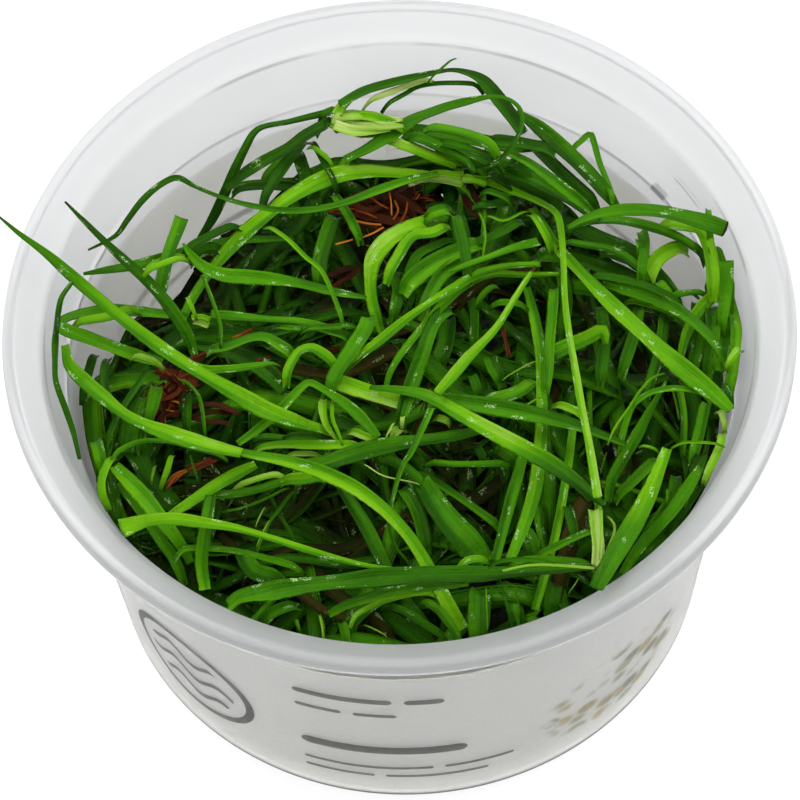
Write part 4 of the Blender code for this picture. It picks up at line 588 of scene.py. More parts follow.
def inner_radius(height):
    """Radius of the tub's inside at a height."""
    heights = (0, BODY_HEIGHT, STEP_HEIGHT, STEP_HEIGHT + STEP_WIDTH, MOUTH_HEIGHT, RIM_HEIGHT)
    radii = (FLOOR_RADIUS, BODY_RADIUS, STEP_RADIUS, STEP_RADIUS + STEP_WIDTH, MOUTH_RADIUS, RIM_RADIUS)
    return np.interp(height, heights, radii)


def outer_radius(height):
    """Radius of the tub's outside at a height from its heel to the step."""
    heights = (HEEL, STEP_HEIGHT - WALL / 2)
    return float(np.interp(height, heights, (FLOOR_RADIUS + WALL, STEP_RADIUS + WALL)))


def hollow_depth(x, y):
    """How far the undergrowth's hollows go down at a place."""
    depth = 0.0
    for middle_x, middle_y, reach, most in UNDERGROWTH_HOLLOWS:
        inside = np.maximum(0, 1 - ((x - middle_x) ** 2 + (y - middle_y) ** 2) / reach**2)
        depth = np.maximum(depth, most * inside**1.5)
    return depth


def undergrowth_height(x, y):
    """Height of the undergrowth's top at a place."""
    fall = UNDERGROWTH_FALL * (np.hypot(x, y) / UNDERGROWTH_RADIUS) ** 3 + UNDERGROWTH_SLOPE * y
    lumps = sum(share * np.sin(1 + x * wave_x + y * wave_y) for wave_x, wave_y, share in UNDERGROWTH_WAVES)
    return UNDERGROWTH_HEIGHT - fall + UNDERGROWTH_LUMP * lumps - hollow_depth(x, y)


def in_place(seen):
    """Points drawn on the plane of the rim, moved along the line of sight to their own heights."""
    eye = np.array(EYE)
    share = (eye[2] - seen[:, 2:]) / (eye[2] - RIM_HEIGHT)
    drawn = np.column_stack([seen[:, :2], np.full(len(seen), RIM_HEIGHT)])
    return eye + (drawn - eye) * share


def smooth_path(points, values, step):
    """A Catmull-Rom curve through the points, read at about every step of length, with its values."""
    points, values = np.array(points, float), np.array(values, float)
    ends = np.vstack([2 * points[0] - points[1], points, 2 * points[-1] - points[-2]])
    fine, carried = [], []
    for i in range(len(points) - 1):
        before, start, end, after = ends[i : i + 4]
        for t in np.arange(0, 1, 0.05):
            fine.append(
                0.5
                * (
                    2 * start
                    + (end - before) * t
                    + (2 * before - 5 * start + 4 * end - after) * t**2
                    + (3 * start - before - 3 * end + after) * t**3
                )
            )
            carried.append(values[i] + (values[i + 1] - values[i]) * t)
    fine = np.array(fine + [points[-1]])
    carried = np.array(carried + [values[-1]])
    along = np.concatenate([[0], np.cumsum(np.linalg.norm(np.diff(fine, axis=0), axis=1))])
    stations = np.linspace(0, along[-1], max(4, round(along[-1] / step) + 1))
    path = np.column_stack([np.interp(stations, along, fine[:, k]) for k in range(3)])
    return path, np.interp(stations, along, carried)


def eased(values, reach):
    """The values averaged over a number of neighbours each side."""
    padded = np.pad(values, reach, mode="edge")
    return np.mean([padded[k : k + len(values)] for k in range(2 * reach + 1)], axis=0)


def lengths_along(path):
    """How far along a path each of its points is."""
    return np.concatenate([[0], np.cumsum(np.linalg.norm(np.diff(path, axis=0), axis=1))])


def unit(vectors):
    return vectors / np.maximum(np.linalg.norm(vectors, axis=-1, keepdims=True), 1e-6)


def sideways(path):
    """The level direction across a path at each of its points."""
    run = np.gradient(path, axis=0)
    return unit(np.column_stack([-run[:, 1], run[:, 0], np.zeros(len(run))]))


def keep_inside(path, widths):
    """Moves points below the rim's crest away from the tub's wall."""
    room = inner_radius(path[:, 2]) - WALL_GAP - widths / 2
    reach = np.hypot(path[:, 0], path[:, 1])
    share = np.where((reach > room) & (path[:, 2] < RIM_HEIGHT), room / reach, 1)
    path[:, :2] *= share[:, None]


class Tangle:
    """The height of what lies in the tub so far, on a grid in plan, that each new piece settles on."""

    CELL = 0.5
    REACH = 56.0
    FINE = 0.5
    ACROSS = 7
    EASE = 5
    TRIES = 8

    def __init__(self):
        places = np.arange(-self.REACH, self.REACH + self.CELL, self.CELL)
        x, y = np.meshgrid(places, places, indexing="ij")
        radius = np.hypot(x, y)
        self.top = undergrowth_height(x, y) + UNDERGROWTH_GAP - LAYER_GAP
        rim = (radius > MOUTH_RADIUS) & (radius < LIP_RADIUS + self.CELL)
        slope = (RIM_HEIGHT - MOUTH_HEIGHT) / (RIM_RADIUS - MOUTH_RADIUS)
        self.top[rim] = np.minimum(RIM_HEIGHT, MOUTH_HEIGHT + slope * (radius[rim] - MOUTH_RADIUS))
        self.top[radius >= LIP_RADIUS + self.CELL] = 0
        self.passed = {}  # heights of the leaves over each cell

    def cells(self, path, widths):
        """The grid's cells under a leaf at each point of its path."""
        offsets = np.linspace(-0.5, 0.5, self.ACROSS)
        spread = sideways(path)[:, None, :2] * (offsets[None, :, None] * (widths[:, None, None] + self.CELL))
        places = path[:, None, :2] + spread
        cells = np.rint((places + self.REACH) / self.CELL).astype(int)
        return np.clip(cells, 1, len(self.top) - 2)

    def settle(self, seen, widths, thickness):
        """The path in its place, lifted to lie over what is there, which it is then added to."""
        for _ in range(self.TRIES):
            path = in_place(seen)
            keep_inside(path, widths)
            cells = self.cells(path, widths)
            around = [
                self.top[cells[..., 0] + i, cells[..., 1] + j] for i in (-1, 0, 1) for j in (-1, 0, 1)
            ]
            needed = np.max(around, axis=(0, 2)) + LAYER_GAP + thickness / 2
            lift = np.maximum(0, needed - path[:, 2])
            if lift.max() < 0.01:
                break
            size = 2 * self.EASE + 1
            padded = np.pad(lift, self.EASE, mode="edge")
            highest = np.max([padded[k : k + len(lift)] for k in range(size)], axis=0)
            seen[:, 2] += np.maximum(lift, eased(highest, self.EASE))
        tops = np.repeat(path[:, 2:] + thickness / 2, self.ACROSS, axis=1)
        np.maximum.at(self.top, (cells[..., 0], cells[..., 1]), tops)
        self.pass_over(path, cells)
        seen[:, 2] = eased(seen[:, 2], 3)
        path = in_place(seen)
        keep_inside(path, widths)
        return path

    def pass_over(self, path, cells):
        """Keeps the leaf's height for each cell that it passes over."""
        for (_, _, height), row in zip(path, cells):
            for cell in set(map(tuple, row)):
                self.passed.setdefault(cell, []).append(height)

    def thread(self, seen, widths, room):
        """The path in its place, eased up or down to pass between the leaves that it meets."""
        for _ in range(4):
            path = in_place(seen)
            keep_inside(path, widths)
            shift = np.zeros(len(path))
            for k, row in enumerate(self.cells(path, widths)):
                gaps = [
                    path[k, 2] - height for cell in set(map(tuple, row)) for height in self.passed.get(cell, ())
                ]
                near = min(gaps, key=abs, default=room)
                if abs(near) < room:
                    shift[k] = math.copysign(room - abs(near), near)
            if not shift.any():
                break
            padded = np.pad(shift, self.EASE, mode="edge")
            window = [padded[k : k + len(shift)] for k in range(2 * self.EASE + 1)]
            up, down = np.max(window, axis=0), np.min(window, axis=0)
            seen[:, 2] += eased(np.where(up > -down, up, down), self.EASE)
        self.pass_over(path, self.cells(path, widths))
        seen[:, 2] = eased(seen[:, 2], 3)
        path = in_place(seen)
        keep_inside(path, widths)
        return path


@functools.lru_cache(maxsize=None)
def laid_plants():
    """The tangle, and each leaf's, crown's and root ball's path in it with its widths."""
    tangle, laid = Tangle(), {}
    stubs = {**CROWNS, **ROOTS}
    for leaf, trace in LEAVES.items():
        for name in (n for n, before in TURNS.items() if before == leaf):
            seen, radii = smooth_path(
                [row[:3] for row in stubs[name]], [row[3] for row in stubs[name]], Tangle.FINE
            )
            laid[name] = tangle.settle(seen, 2 * radii, 2 * radii.max()), radii
        seen, widths = smooth_path([row[:3] for row in trace], [row[3] for row in trace], Tangle.FINE)
        laid[leaf] = tangle.settle(seen, widths, LEAF_THICKNESS + LEAF_CHANNEL * widths.max()), widths
    return tangle, laid


class Strands:
    """Blades or strands gathered into one mesh, with the marks that their finish reads at each point."""

    MARKS = ("along", "across", "tone", "brown", "seed")

    def __init__(self):
        self.points, self.faces, self.marks, self.count = [], [], {name: [] for name in self.MARKS}, 0

    def add(self, rings, across, **marks):
        """Rings of points with faces between them and a cap at each end."""
        stations, sides = rings.shape[:2]
        first = self.count
        middles = rings[[0, -1]].mean(axis=1)
        self.points.append(np.vstack([rings.reshape(-1, 3), middles]))
        start = first + sides * np.arange(stations - 1)[:, None] + np.arange(sides)
        after = first + sides * np.arange(stations - 1)[:, None] + (np.arange(sides) + 1) % sides
        self.faces += np.stack([start, after, after + sides, start + sides], axis=-1).reshape(-1, 4).tolist()
        low, high = first + stations * sides, first + stations * sides + 1
        self.faces += [(low, int(b), int(a)) for a, b in zip(start[0], after[0])]
        self.faces += [(high, int(a) + sides, int(b) + sides) for a, b in zip(start[-1], after[-1])]
        for name in self.MARKS:
            value = across if name == "across" else np.asarray(marks.get(name, 0.0), float).reshape(-1, 1)
            spread = np.broadcast_to(value, (stations, sides))
            ends = [0, 0] if name == "across" else [spread[0, 0], spread[-1, 0]]
            self.marks[name].append(np.concatenate([spread.ravel(), ends]))
        self.count += stations * sides + 2

    def piece(self, name, look, slot, *nodes):
        mesh = bpy.data.meshes.new(name)
        mesh.from_pydata((np.vstack(self.points) * MM).tolist(), [], self.faces)
        for mark, values in self.marks.items():
            layer = mesh.attributes.new(mark, "FLOAT", "POINT")
            layer.data.foreach_set("value", np.concatenate(values))
        return put(name, mesh, look, slot, *nodes)


def put(name, mesh, look, slot, *nodes):
    """A piece in the tub, which takes the place of nodes of the part."""
    mesh.materials.append(look)
    mesh.shade_smooth()
    obj = bpy.data.objects.new(name, mesh)
    bpy.context.scene.collection.objects.link(obj)
    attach(obj, "root")
    if nodes:
        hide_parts(*nodes)
    return obj


FINE_TOP, FINE_UNDER = np.linspace(1, -1, 7), np.linspace(-0.72, 0.72, 5)
PLAIN_TOP, PLAIN_UNDER = np.linspace(1, -1, 3), np.zeros(1)


def blade_rings(path, widths, roll, thickness, channel, fine=True):
    """A channelled blade's outline at each point of its path, and how far across each point is."""
    top, under = (FINE_TOP, FINE_UNDER) if fine else (PLAIN_TOP, PLAIN_UNDER)
    run = unit(np.gradient(path, axis=0))
    level = sideways(path)
    flips = np.cumprod(np.where(np.sum(level[1:] * level[:-1], axis=1) < -0.5, -1, 1))
    level[1:] *= flips[:, None]
    up = np.cross(run, level)
    across = level * np.cos(roll)[:, None] + up * np.sin(roll)[:, None]
    rise = up * np.cos(roll)[:, None] - level * np.sin(roll)[:, None]
    half = (widths / 2 / np.cos(roll))[:, None]
    sides = np.concatenate([top, under])
    drop = 2 * half * channel * (1 - np.abs(sides) ** 1.3)
    below = np.concatenate([np.zeros(len(top)), np.ones(len(under))]) * (1 - 0.5 * sides**2)
    height = thickness / 2 - drop - below * np.minimum(thickness, half * 0.8)
    rings = path[:, None] + across[:, None] * (half * sides)[..., None] + rise[:, None] * height[..., None]
    return rings, sides


def tube_rings(path, radii, sides, ridges=0.0, ridge_count=5):
    """A round strand's outline at each point of its path, which may have ridges along it."""
    run = unit(np.gradient(path, axis=0))
    level = sideways(path)
    up = np.cross(run, level)
    angle = np.linspace(0, 2 * math.pi, sides, endpoint=False)
    swell = radii[:, None] * (1 + ridges * np.cos(ridge_count * angle))
    rings = (
        path[:, None]
        + level[:, None] * (swell * np.cos(angle))[..., None]
        + up[:, None] * (swell * np.sin(angle))[..., None]
    )
    return rings, np.cos(angle)


def wavering(rng, along, most, length):
    """A smooth random turn along a leaf, up to most each way."""
    waves = (rng.uniform(0.6, 1.6) / length, rng.uniform(0.25, 0.6) / length)
    return most * sum(
        0.5 * np.sin(2 * math.pi * along * wave + rng.uniform(0, 2 * math.pi)) for wave in waves
    )


def add_blade(strands, rng, path, widths, tones, brown_ends=(0, 0), look=None, fine=True, brown=0.0):
    """Adds a blade, brighter or duller along its length and brown towards its ends where that is asked."""
    along = lengths_along(path)
    roll = wavering(rng, along, look["roll"], 18)
    rings, sides = blade_rings(path, widths, roll, look["thickness"], look["channel"], fine)
    tone = np.interp(along / along[-1], np.linspace(0, 1, len(tones)), tones)
    brown = np.zeros(len(path)) + brown
    for reach, from_end in zip(brown_ends, (along, along[-1] - along)):
        if reach:
            brown = np.maximum(brown, np.clip(1.3 - from_end / reach, 0, 1))
    strands.add(rings, sides, along=along, tone=tone, brown=brown, seed=rng.random())


def linear(*shades):
    """A colour given in the shades of a screen, 0 to 255."""
    return tuple((s / 255 / 12.92 if s <= 10 else ((s / 255 + 0.055) / 1.055) ** 2.4) for s in shades) + (1.0,)


class Socket:
    """A value in a material's nodes. An expression on it adds its Math nodes."""

    def __init__(self, look, out):
        self.look = look
        self.out = out

    def math(self, operation, *values):
        return self.look.node("ShaderNodeMath", {"operation": operation}, dict(enumerate(values)))

    def __add__(self, other):
        return self.math("ADD", self, other)

    def __radd__(self, other):
        return self.math("ADD", other, self)

    def __sub__(self, other):
        return self.math("SUBTRACT", self, other)

    def __rsub__(self, other):
        return self.math("SUBTRACT", other, self)

    def __mul__(self, other):
        return self.math("MULTIPLY", self, other)

    def __rmul__(self, other):
        return self.math("MULTIPLY", other, self)

    def __truediv__(self, other):
        return self.math("DIVIDE", self, other)

    def __rtruediv__(self, other):
        return self.math("DIVIDE", other, self)

    def __pow__(self, other):
        return self.math("POWER", self, other)

    def __abs__(self):
        return self.math("ABSOLUTE", self)

    def __or__(self, other):
        return self.math("MAXIMUM", self, other)

    def __and__(self, other):
        return self.math("MINIMUM", self, other)


class Look:
    """A material on one Principled shader, made node by node."""

    def __init__(self, name, **constants):
        self.material = bpy.data.materials.new(name)
        self.material.use_nodes = True
        self.tree = self.material.node_tree
        self.shader = self.tree.nodes["Principled BSDF"]
        for socket, value in constants.items():
            self.shader.inputs[socket.replace("_", " ")].default_value = value

    def node(self, kind, settings=None, inputs=None, output=0):
        """Adds a node with its settings, then the values or links of its sockets, and gives one output."""
        made = self.tree.nodes.new(kind)
        for name, value in (settings or {}).items():
            if name == "stops":
                while len(made.color_ramp.elements) < len(value):
                    made.color_ramp.elements.new(1.0)
                for element, (position, colour) in zip(made.color_ramp.elements, value):
                    element.position = position
                    element.color = colour
            else:
                setattr(made, name, value)
        for name, value in (inputs or {}).items():
            if isinstance(value, Socket):
                self.tree.links.new(value.out, made.inputs[name])
            else:
                made.inputs[name].default_value = value
        return Socket(self, made.outputs[output])

    def feed(self, **values):
        for socket, value in values.items():
            self.tree.links.new(value.out, self.shader.inputs[socket.replace("_", " ")])

    def mark(self, name):
        return self.node("ShaderNodeAttribute", {"attribute_name": name}, output="Fac")

    def place(self):
        """Where a point of the surface is, in millimetres in the part's frame."""
        where = self.node("ShaderNodeTexCoord", output="Object")
        scaled = self.node("ShaderNodeVectorMath", {"operation": "SCALE"}, {0: where, "Scale": 1 / MM})
        split = [self.node("ShaderNodeSeparateXYZ", None, {0: scaled}, k) for k in range(3)]
        return scaled, split

    def joined(self, x, y, z):
        return self.node("ShaderNodeCombineXYZ", None, {0: x, 1: y, 2: z})

    def noise(self, where, scale, detail=2.0, roughness=0.5):
        values = {"Vector": where, "Scale": scale, "Detail": detail, "Roughness": roughness}
        return self.node("ShaderNodeTexNoise", None, values, "Fac")

    def spots(self, where, scale):
        """Distance from the nearest of scattered points, and a value that differs from one to the next."""
        values = {"Vector": where, "Scale": scale}
        far = self.node("ShaderNodeTexVoronoi", None, values, "Distance")
        colour = self.node("ShaderNodeTexVoronoi", None, values, "Color")
        return far, self.node("ShaderNodeSeparateColor", None, {0: colour})

    def between(self, value, low, high):
        """0 where a value is low, 1 where it is high, and a smooth step between them."""
        values = {0: value, 1: low, 2: high, 3: 0.0, 4: 1.0}
        return self.node("ShaderNodeMapRange", {"interpolation_type": "SMOOTHSTEP"}, values)

    def ramp(self, value, stops):
        return self.node("ShaderNodeValToRGB", {"stops": stops}, {0: value})

    def mixed(self, share, first, second):
        return self.node("ShaderNodeMix", {"data_type": "RGBA"}, {0: share, 6: first, 7: second}, 2)

    def bump(self, height, distance, strength=1.0, over=None):
        values = {"Height": height, "Distance": distance, "Strength": strength}
        if over is not None:
            values["Normal"] = over
        return self.node("ShaderNodeBump", None, values)


def plastic_look(settings):
    look = Look("milky polypropylene", IOR=1.4, Transmission_Weight=0.82)
    where, (x, y, z) = look.place()
    reach = (x * x + y * y) ** 0.5
    turn = look.node("ShaderNodeMath", {"operation": "ARCTAN2"}, {0: y, 1: x})
    cloud = look.noise(where, 0.05, 2.0)
    flow = look.noise(look.joined(x * 0.05, y * 0.05, z * 0.3), 1.0, 2.0)
    scratch = look.noise(look.joined(x * 0.6, y * 0.05, z * 4.0), 1.0, 4.0, 0.7)
    scratched = look.between(scratch, 0.62, 0.7)
    tint = look.mixed(look.between(cloud, 0.35, 0.7), settings.plastic, settings.plastic_shade)
    # Darker over the rim from 53.8 mm up: partly its thicker plastic, partly painted shade that holds down the
    # light on its upturned face
    tint = look.mixed(look.between(z, 53.8, 55.2), tint, settings.rim)
    # Thin dark lines where the wall turns out and at the step, and two scuffs at the right
    patchy = look.between(look.noise(look.joined(turn * 2.2, z * 0.3, 0.0), 1.0, 3.0), 0.36, 0.6)
    mouth = look.between(abs(reach - MOUTH_RADIUS), 0.17, 0.05) * look.between(z, 53.4, 53.9) * patchy
    step = look.between(abs(z - STEP_HEIGHT), 0.35, 0.1) * (1 - patchy * 0.8)
    scuff = look.between(abs(turn - 0.615), 0.04, 0.025) * look.between(abs(z - STEP_HEIGHT), 0.6, 0.2)
    other = look.between(abs(turn - 0.51), 0.075, 0.05) * look.between(abs(z - 50.2), 0.2, 0.08)
    dark_marks = ((mouth * 0.6) | (step * 0.35) | (scuff * 0.85) | (other * 0.6)) & 1.0
    look.feed(
        Base_Color=look.mixed(dark_marks, tint, settings.dark_marks),
        Roughness=0.3 + flow * 0.1 + scratched * 0.1,
        Normal=look.bump(cloud, 0.00002, 0.2),
    )
    return look.material


def label_look(settings):
    look = Look("printed label", IOR=1.1, Transmission_Weight=0.82)
    where, (x, y, z) = look.place()
    around = look.node("ShaderNodeMath", {"operation": "ARCTAN2"}, {0: x, 1: 0.0 - y}) * LABEL_RADIUS

    def bar(left, right, middle, height):
        """A rounded bar: 1 inside it."""
        half = height / 2
        over_x = (abs(around - (left + right) / 2) - ((right - left) / 2 - half)) | 0.0
        over_z = z - middle
        reach = (over_x * over_x + over_z * over_z) ** 0.5
        return look.between(reach, half + 0.06, half - 0.06)

    ink = functools.reduce(lambda a, b: a | b, [bar(*ends) for ends in LABEL_BARS])
    # Three ripples in a ring at the left
    ring_x, ring_z, ring_radius = LABEL_RING
    off_x, off_z = around - ring_x, z - ring_z
    reach = (off_x * off_x + off_z * off_z) ** 0.5
    swell = look.node("ShaderNodeMath", {"operation": "SINE"}, {0: around * 0.85}) * 1.1
    ripples = [look.between(abs(off_z - swell - rise), 0.75, 0.55) for rise in (-4.6, 0.0, 4.6)]
    ripples = functools.reduce(lambda a, b: a | b, ripples) * look.between(reach, 7.4, 7.2)
    ink = ink | ripples | look.between(abs(reach - ring_radius), 0.72, 0.56)

    fibre = look.noise(where, 1.6, 4.0, 0.65)
    paper = look.mixed(look.between(fibre, 0.35, 0.65), settings.paper, settings.paper_shade)
    patchy = look.noise(where, 0.9, 4.0)
    colour = look.mixed(ink * (0.86 + patchy * 0.14), paper, settings.ink)

    # Pebbles under ripples at the right
    heap_x, heap_z, reach_x, reach_z = LABEL_PEBBLES
    off_x, off_z = (around - heap_x) / reach_x, (z - heap_z) / reach_z
    cluster = look.between(
        off_x * off_x + off_z * off_z + (look.noise(where, 0.25, 3.0) - 0.5) * 1.2, 1.0, 0.6
    )
    far, which = look.spots(look.joined(around * 0.8, z, 0.0), 0.36)
    pebble = look.between(far, 0.66, 0.36)
    shades = look.ramp(
        which + (look.noise(where, 1.2, 4.0) - 0.5) * 0.5,
        [
            (0.0, linear(92, 98, 74)),
            (0.35, linear(128, 132, 104)),
            (0.6, linear(168, 166, 132)),
            (0.8, linear(186, 160, 78)),
            (1.0, linear(116, 120, 100)),
        ],
    )
    colour = look.mixed(cluster * pebble * 0.75, colour, shades)
    seam = look.between(abs(abs(around) - LABEL_SEAM), 0.18, 0.06)
    colour = look.mixed(seam * 0.5, colour, linear(120, 120, 118))
    low = outer_radius(LABEL_BOTTOM) + LABEL_GAP + LABEL_THICKNESS / 2
    rise = (outer_radius(LABEL_TOP) - outer_radius(LABEL_BOTTOM)) / (LABEL_TOP - LABEL_BOTTOM)
    inner = look.between((x * x + y * y) ** 0.5 - (z - LABEL_BOTTOM) * rise, low + 0.03, low - 0.03)
    colour = look.mixed(inner * 0.9, colour, settings.back)
    # Painted shadow along the label's foot, darkest near its bottom edge
    foot_shadow = look.between(z, LABEL_BOTTOM + 0.7, LABEL_BOTTOM + 0.4)
    colour = look.mixed(foot_shadow * 0.8, colour, linear(70, 70, 68))
    look.feed(
        Base_Color=colour,
        Roughness=0.42 + fibre * 0.15 - ink * 0.06,
        Normal=look.bump(fibre * 0.5, 0.00005, 0.6),
    )
    return look.material


def leaf_look(name, settings, wetness=1.0):
    look = Look(
        name,
        Specular_IOR_Level=0.22,
        Specular_Tint=(0.4, 0.9, 0.1, 1.0),
    )
    where, _ = look.place()
    along, across, tone, brown, seed = (look.mark(name) for name in Strands.MARKS)
    lay = look.joined(across * 2.2, along * 0.09, seed * 60.0)
    streak = look.noise(lay, 1.0, 3.0, 0.6)
    cells = look.noise(look.joined(across * 5.0, along * 0.8, seed * 60.0), 1.0, 2.0, 0.6)
    patch = look.noise(look.joined(across * 0.4, along * 0.16, seed * 90.0), 1.0, 2.0)
    veins = look.node("ShaderNodeMath", {"operation": "SINE"}, {0: across * 21.0})
    midrib = look.between(abs(across), 0.16, 0.02)
    # One half of each blade lighter and the other darker, changing along it: painted light and shade of the
    # folded blade
    turn = look.node("ShaderNodeMath", {"operation": "SINE"}, {0: seed * 80.0 + along * 0.05})
    shade = (
        tone
        + (look.between(across, -0.3, 0.3) - 0.5) * turn * 0.26
        + (streak - 0.5) * 0.26
        + (patch - 0.5) * 0.34
        + (cells - 0.5) * 0.08
        + veins * 0.012
        + midrib * 0.04
        + look.between(abs(across), 0.86, 1.0) * 0.1
    )
    greens = [
        (0.0, settings.darkest),
        (0.2, settings.dark),
        (0.42, settings.middle),
        (0.62, settings.bright),
        (0.8, settings.brightest),
        (1.0, settings.pale),
    ]
    green = look.ramp(shade / 1.4, greens)
    browned = look.between(brown + (cells - 0.5) * 0.5, 0.35, 0.6)
    dry = look.mixed(look.between(shade, 0.0, 0.8), linear(20, 12, 5), settings.brown)
    colour = look.mixed(browned, green, dry)
    fleck = look.between(look.noise(where, 1.7, 3.0, 0.7), 0.68, 0.76)
    colour = look.mixed(fleck * 0.3, colour, settings.brown)
    wet = look.between(look.noise(where, 0.22, 2.0, 0.6), 0.5, 0.62) * wetness
    sparkle = look.between(look.noise(where, 6.0, 1.0), 0.46, 0.54)
    ragged = look.noise(where, 2.4, 2.0, 0.6)
    spread = look.joined(across * 1.3 + ragged * 1.6, along * 0.42 + ragged * 0.9, seed * 40.0)
    far, which = look.spots(spread, 1.0)
    drop = look.between(far + (ragged - 0.5) * 0.6, 0.36, 0.27) * look.between(which, 0.78, 0.82) * wetness
    # Pale specks painted on the drops: a painted highlight where the water catches the light
    colour = look.mixed(drop * sparkle * 0.75, colour, settings.painted_glint)
    relief = look.bump(veins * 0.5 + midrib * 0.8, 0.00003, 0.7)
    look.feed(
        Base_Color=colour,
        Roughness=0.42 + cells * 0.16 - wet * 0.14 - drop * 0.3 + browned * 0.2,
        Normal=look.bump(look.noise(where, 1.1, 1.0) * 0.6, 0.0003, 1.0, relief),
    )
    return look.material


def root_look(settings):
    look = Look("root strands", Specular_IOR_Level=0.2, Specular_Tint=(0.9, 0.6, 0.3, 1.0))
    where, _ = look.place()
    along, _, tone, _, seed = (look.mark(name) for name in Strands.MARKS)
    patch = look.noise(look.joined(along * 0.4, seed * 50.0, tone * 9.0), 1.0, 4.0, 0.6)
    grain = look.noise(where, 4.0, 4.0, 0.7)
    shade = tone * 0.8 + patch * 0.32 - 0.04 + (grain - 0.5) * 0.2
    colour = look.ramp(
        shade, [(0.1, settings.old), (0.5, settings.young), (0.85, settings.tips), (1.0, linear(172, 125, 66))]
    )
    look.feed(
        Base_Color=colour,
        Roughness=0.38 + grain * 0.25,
        Normal=look.bump(grain + patch, 0.00005, 0.6),
    )
    return look.material


def heap_look(settings):
    look = Look("matted undergrowth")
    where, (x, y, z) = look.place()
    turn = look.noise(where, 0.06, 2.0) * 9.0
    strand = look.noise(look.joined(x + turn, (y - turn) * 0.16, z * 0.3), 0.9, 4.0, 0.65)
    other = look.noise(look.joined((x - turn) * 0.16, y + turn, z * 0.3), 0.9, 4.0, 0.65)
    lie = strand | other
    # Painted near black as the shade of the tangle's depths, darkest in the low places of the strands' relief
    # and lighter on the raised strands: painted shade and light
    colour = look.ramp(
        lie + (look.noise(where, 0.15, 3.0) - 0.5) * 0.4,
        [(0.3, settings.hollow_shade), (0.5, settings.deep), (0.68, settings.lit), (0.85, linear(47, 30, 11))],
    )
    look.feed(Base_Color=colour, Roughness=0.5 + strand * 0.3, Normal=look.bump(lie, 0.0012, 1.0))
    return look.material


def rounded(points, radii, segments=5):
    """A profile whose corners are rounded, each by its own radius as far as its neighbours leave room."""
    points = np.array(points, float)
    made = [points[0]]
    for before, corner, after, radius in zip(points, points[1:], points[2:], radii[1:]):
        back, ahead = before - corner, after - corner
        room = min(np.linalg.norm(back), np.linalg.norm(ahead)) * 0.45
        back, ahead = unit(back), unit(ahead)
        half = math.acos(np.clip(back @ ahead, -1, 1)) / 2
        reach = min(room, radius / max(math.tan(half), 1e-3))
        start, end = corner + back * reach, corner + ahead * reach
        for t in np.linspace(0, 1, segments + 1):
            made.append(start * (1 - t) ** 2 + corner * 2 * t * (1 - t) + end * t**2)
    made.append(points[-1])
    return np.array(made)


def turned_mesh(name, profile, steps, closed):
    """A profile of radius and height turned once round the Z axis."""
    angle = np.linspace(0, 2 * math.pi, steps, endpoint=False)
    rows = len(profile)
    radius, height = profile[:, 0, None], profile[:, 1, None]
    points = np.stack([radius * np.cos(angle), radius * np.sin(angle), height + 0 * angle], axis=-1)
    row = np.arange(rows if closed else rows - 1)[:, None]
    here, there = row * steps, (row + 1) % rows * steps
    step, next_step = np.arange(steps), (np.arange(steps) + 1) % steps
    faces = np.stack([here + step, there + step, there + next_step, here + next_step], axis=-1)
    faces = faces.reshape(-1, 4).tolist()
    mesh = bpy.data.meshes.new(name)
    if not closed:
        faces += [tuple(step.tolist()), tuple(((rows - 1) * steps + step[::-1]).tolist())]
    mesh.from_pydata((points.reshape(-1, 3) * MM).tolist(), [], faces)
    mesh.update()
    return mesh


COLOUR = {"subtype": "COLOR", "size": 4, "min": 0, "max": 1}


class TubSettings(bpy.types.PropertyGroup):
    plastic: FloatVectorProperty(
        name="Plastic", description="Colour of the milky plastic", default=(0.82, 0.826, 0.83, 1), **COLOUR
    )
    plastic_shade: FloatVectorProperty(
        name="Plastic, denser", description="Colour where the plastic is denser",
        default=(0.79, 0.8, 0.805, 1), **COLOUR
    )
    # Partly the thicker plastic of the rim, partly painted shade that holds down the light on its upturned face
    rim: FloatVectorProperty(
        name="Rim", description="Colour of the thicker plastic of the rim",
        default=(0.7, 0.71, 0.715, 1), **COLOUR
    )
    # Colour of the thin dark lines at the tub's turns and of its scuffs
    dark_marks: FloatVectorProperty(
        name="Grime", description="Colour of the dirt in the tub's edges and scuffs",
        default=(0.12, 0.12, 0.12, 1), **COLOUR
    )
    steps: IntProperty(name="Steps", description="Flat faces round the tub", default=256, min=64, max=1024)


class LabelSettings(bpy.types.PropertyGroup):
    paper: FloatVectorProperty(
        name="Paper", description="Colour of the bare label", default=(0.95, 0.965, 1, 1), **COLOUR
    )
    paper_shade: FloatVectorProperty(
        name="Paper, darker", description="Colour of the paper's darker fibres",
        default=(0.9, 0.915, 0.95, 1), **COLOUR
    )
    back: FloatVectorProperty(
        name="Back", description="Colour of the gummed back of the label", default=(1, 0.97, 0.8, 1), **COLOUR
    )
    ink: FloatVectorProperty(
        name="Ink", description="Colour of the plain printed marks", default=(0.1, 0.105, 0.105, 1), **COLOUR
    )


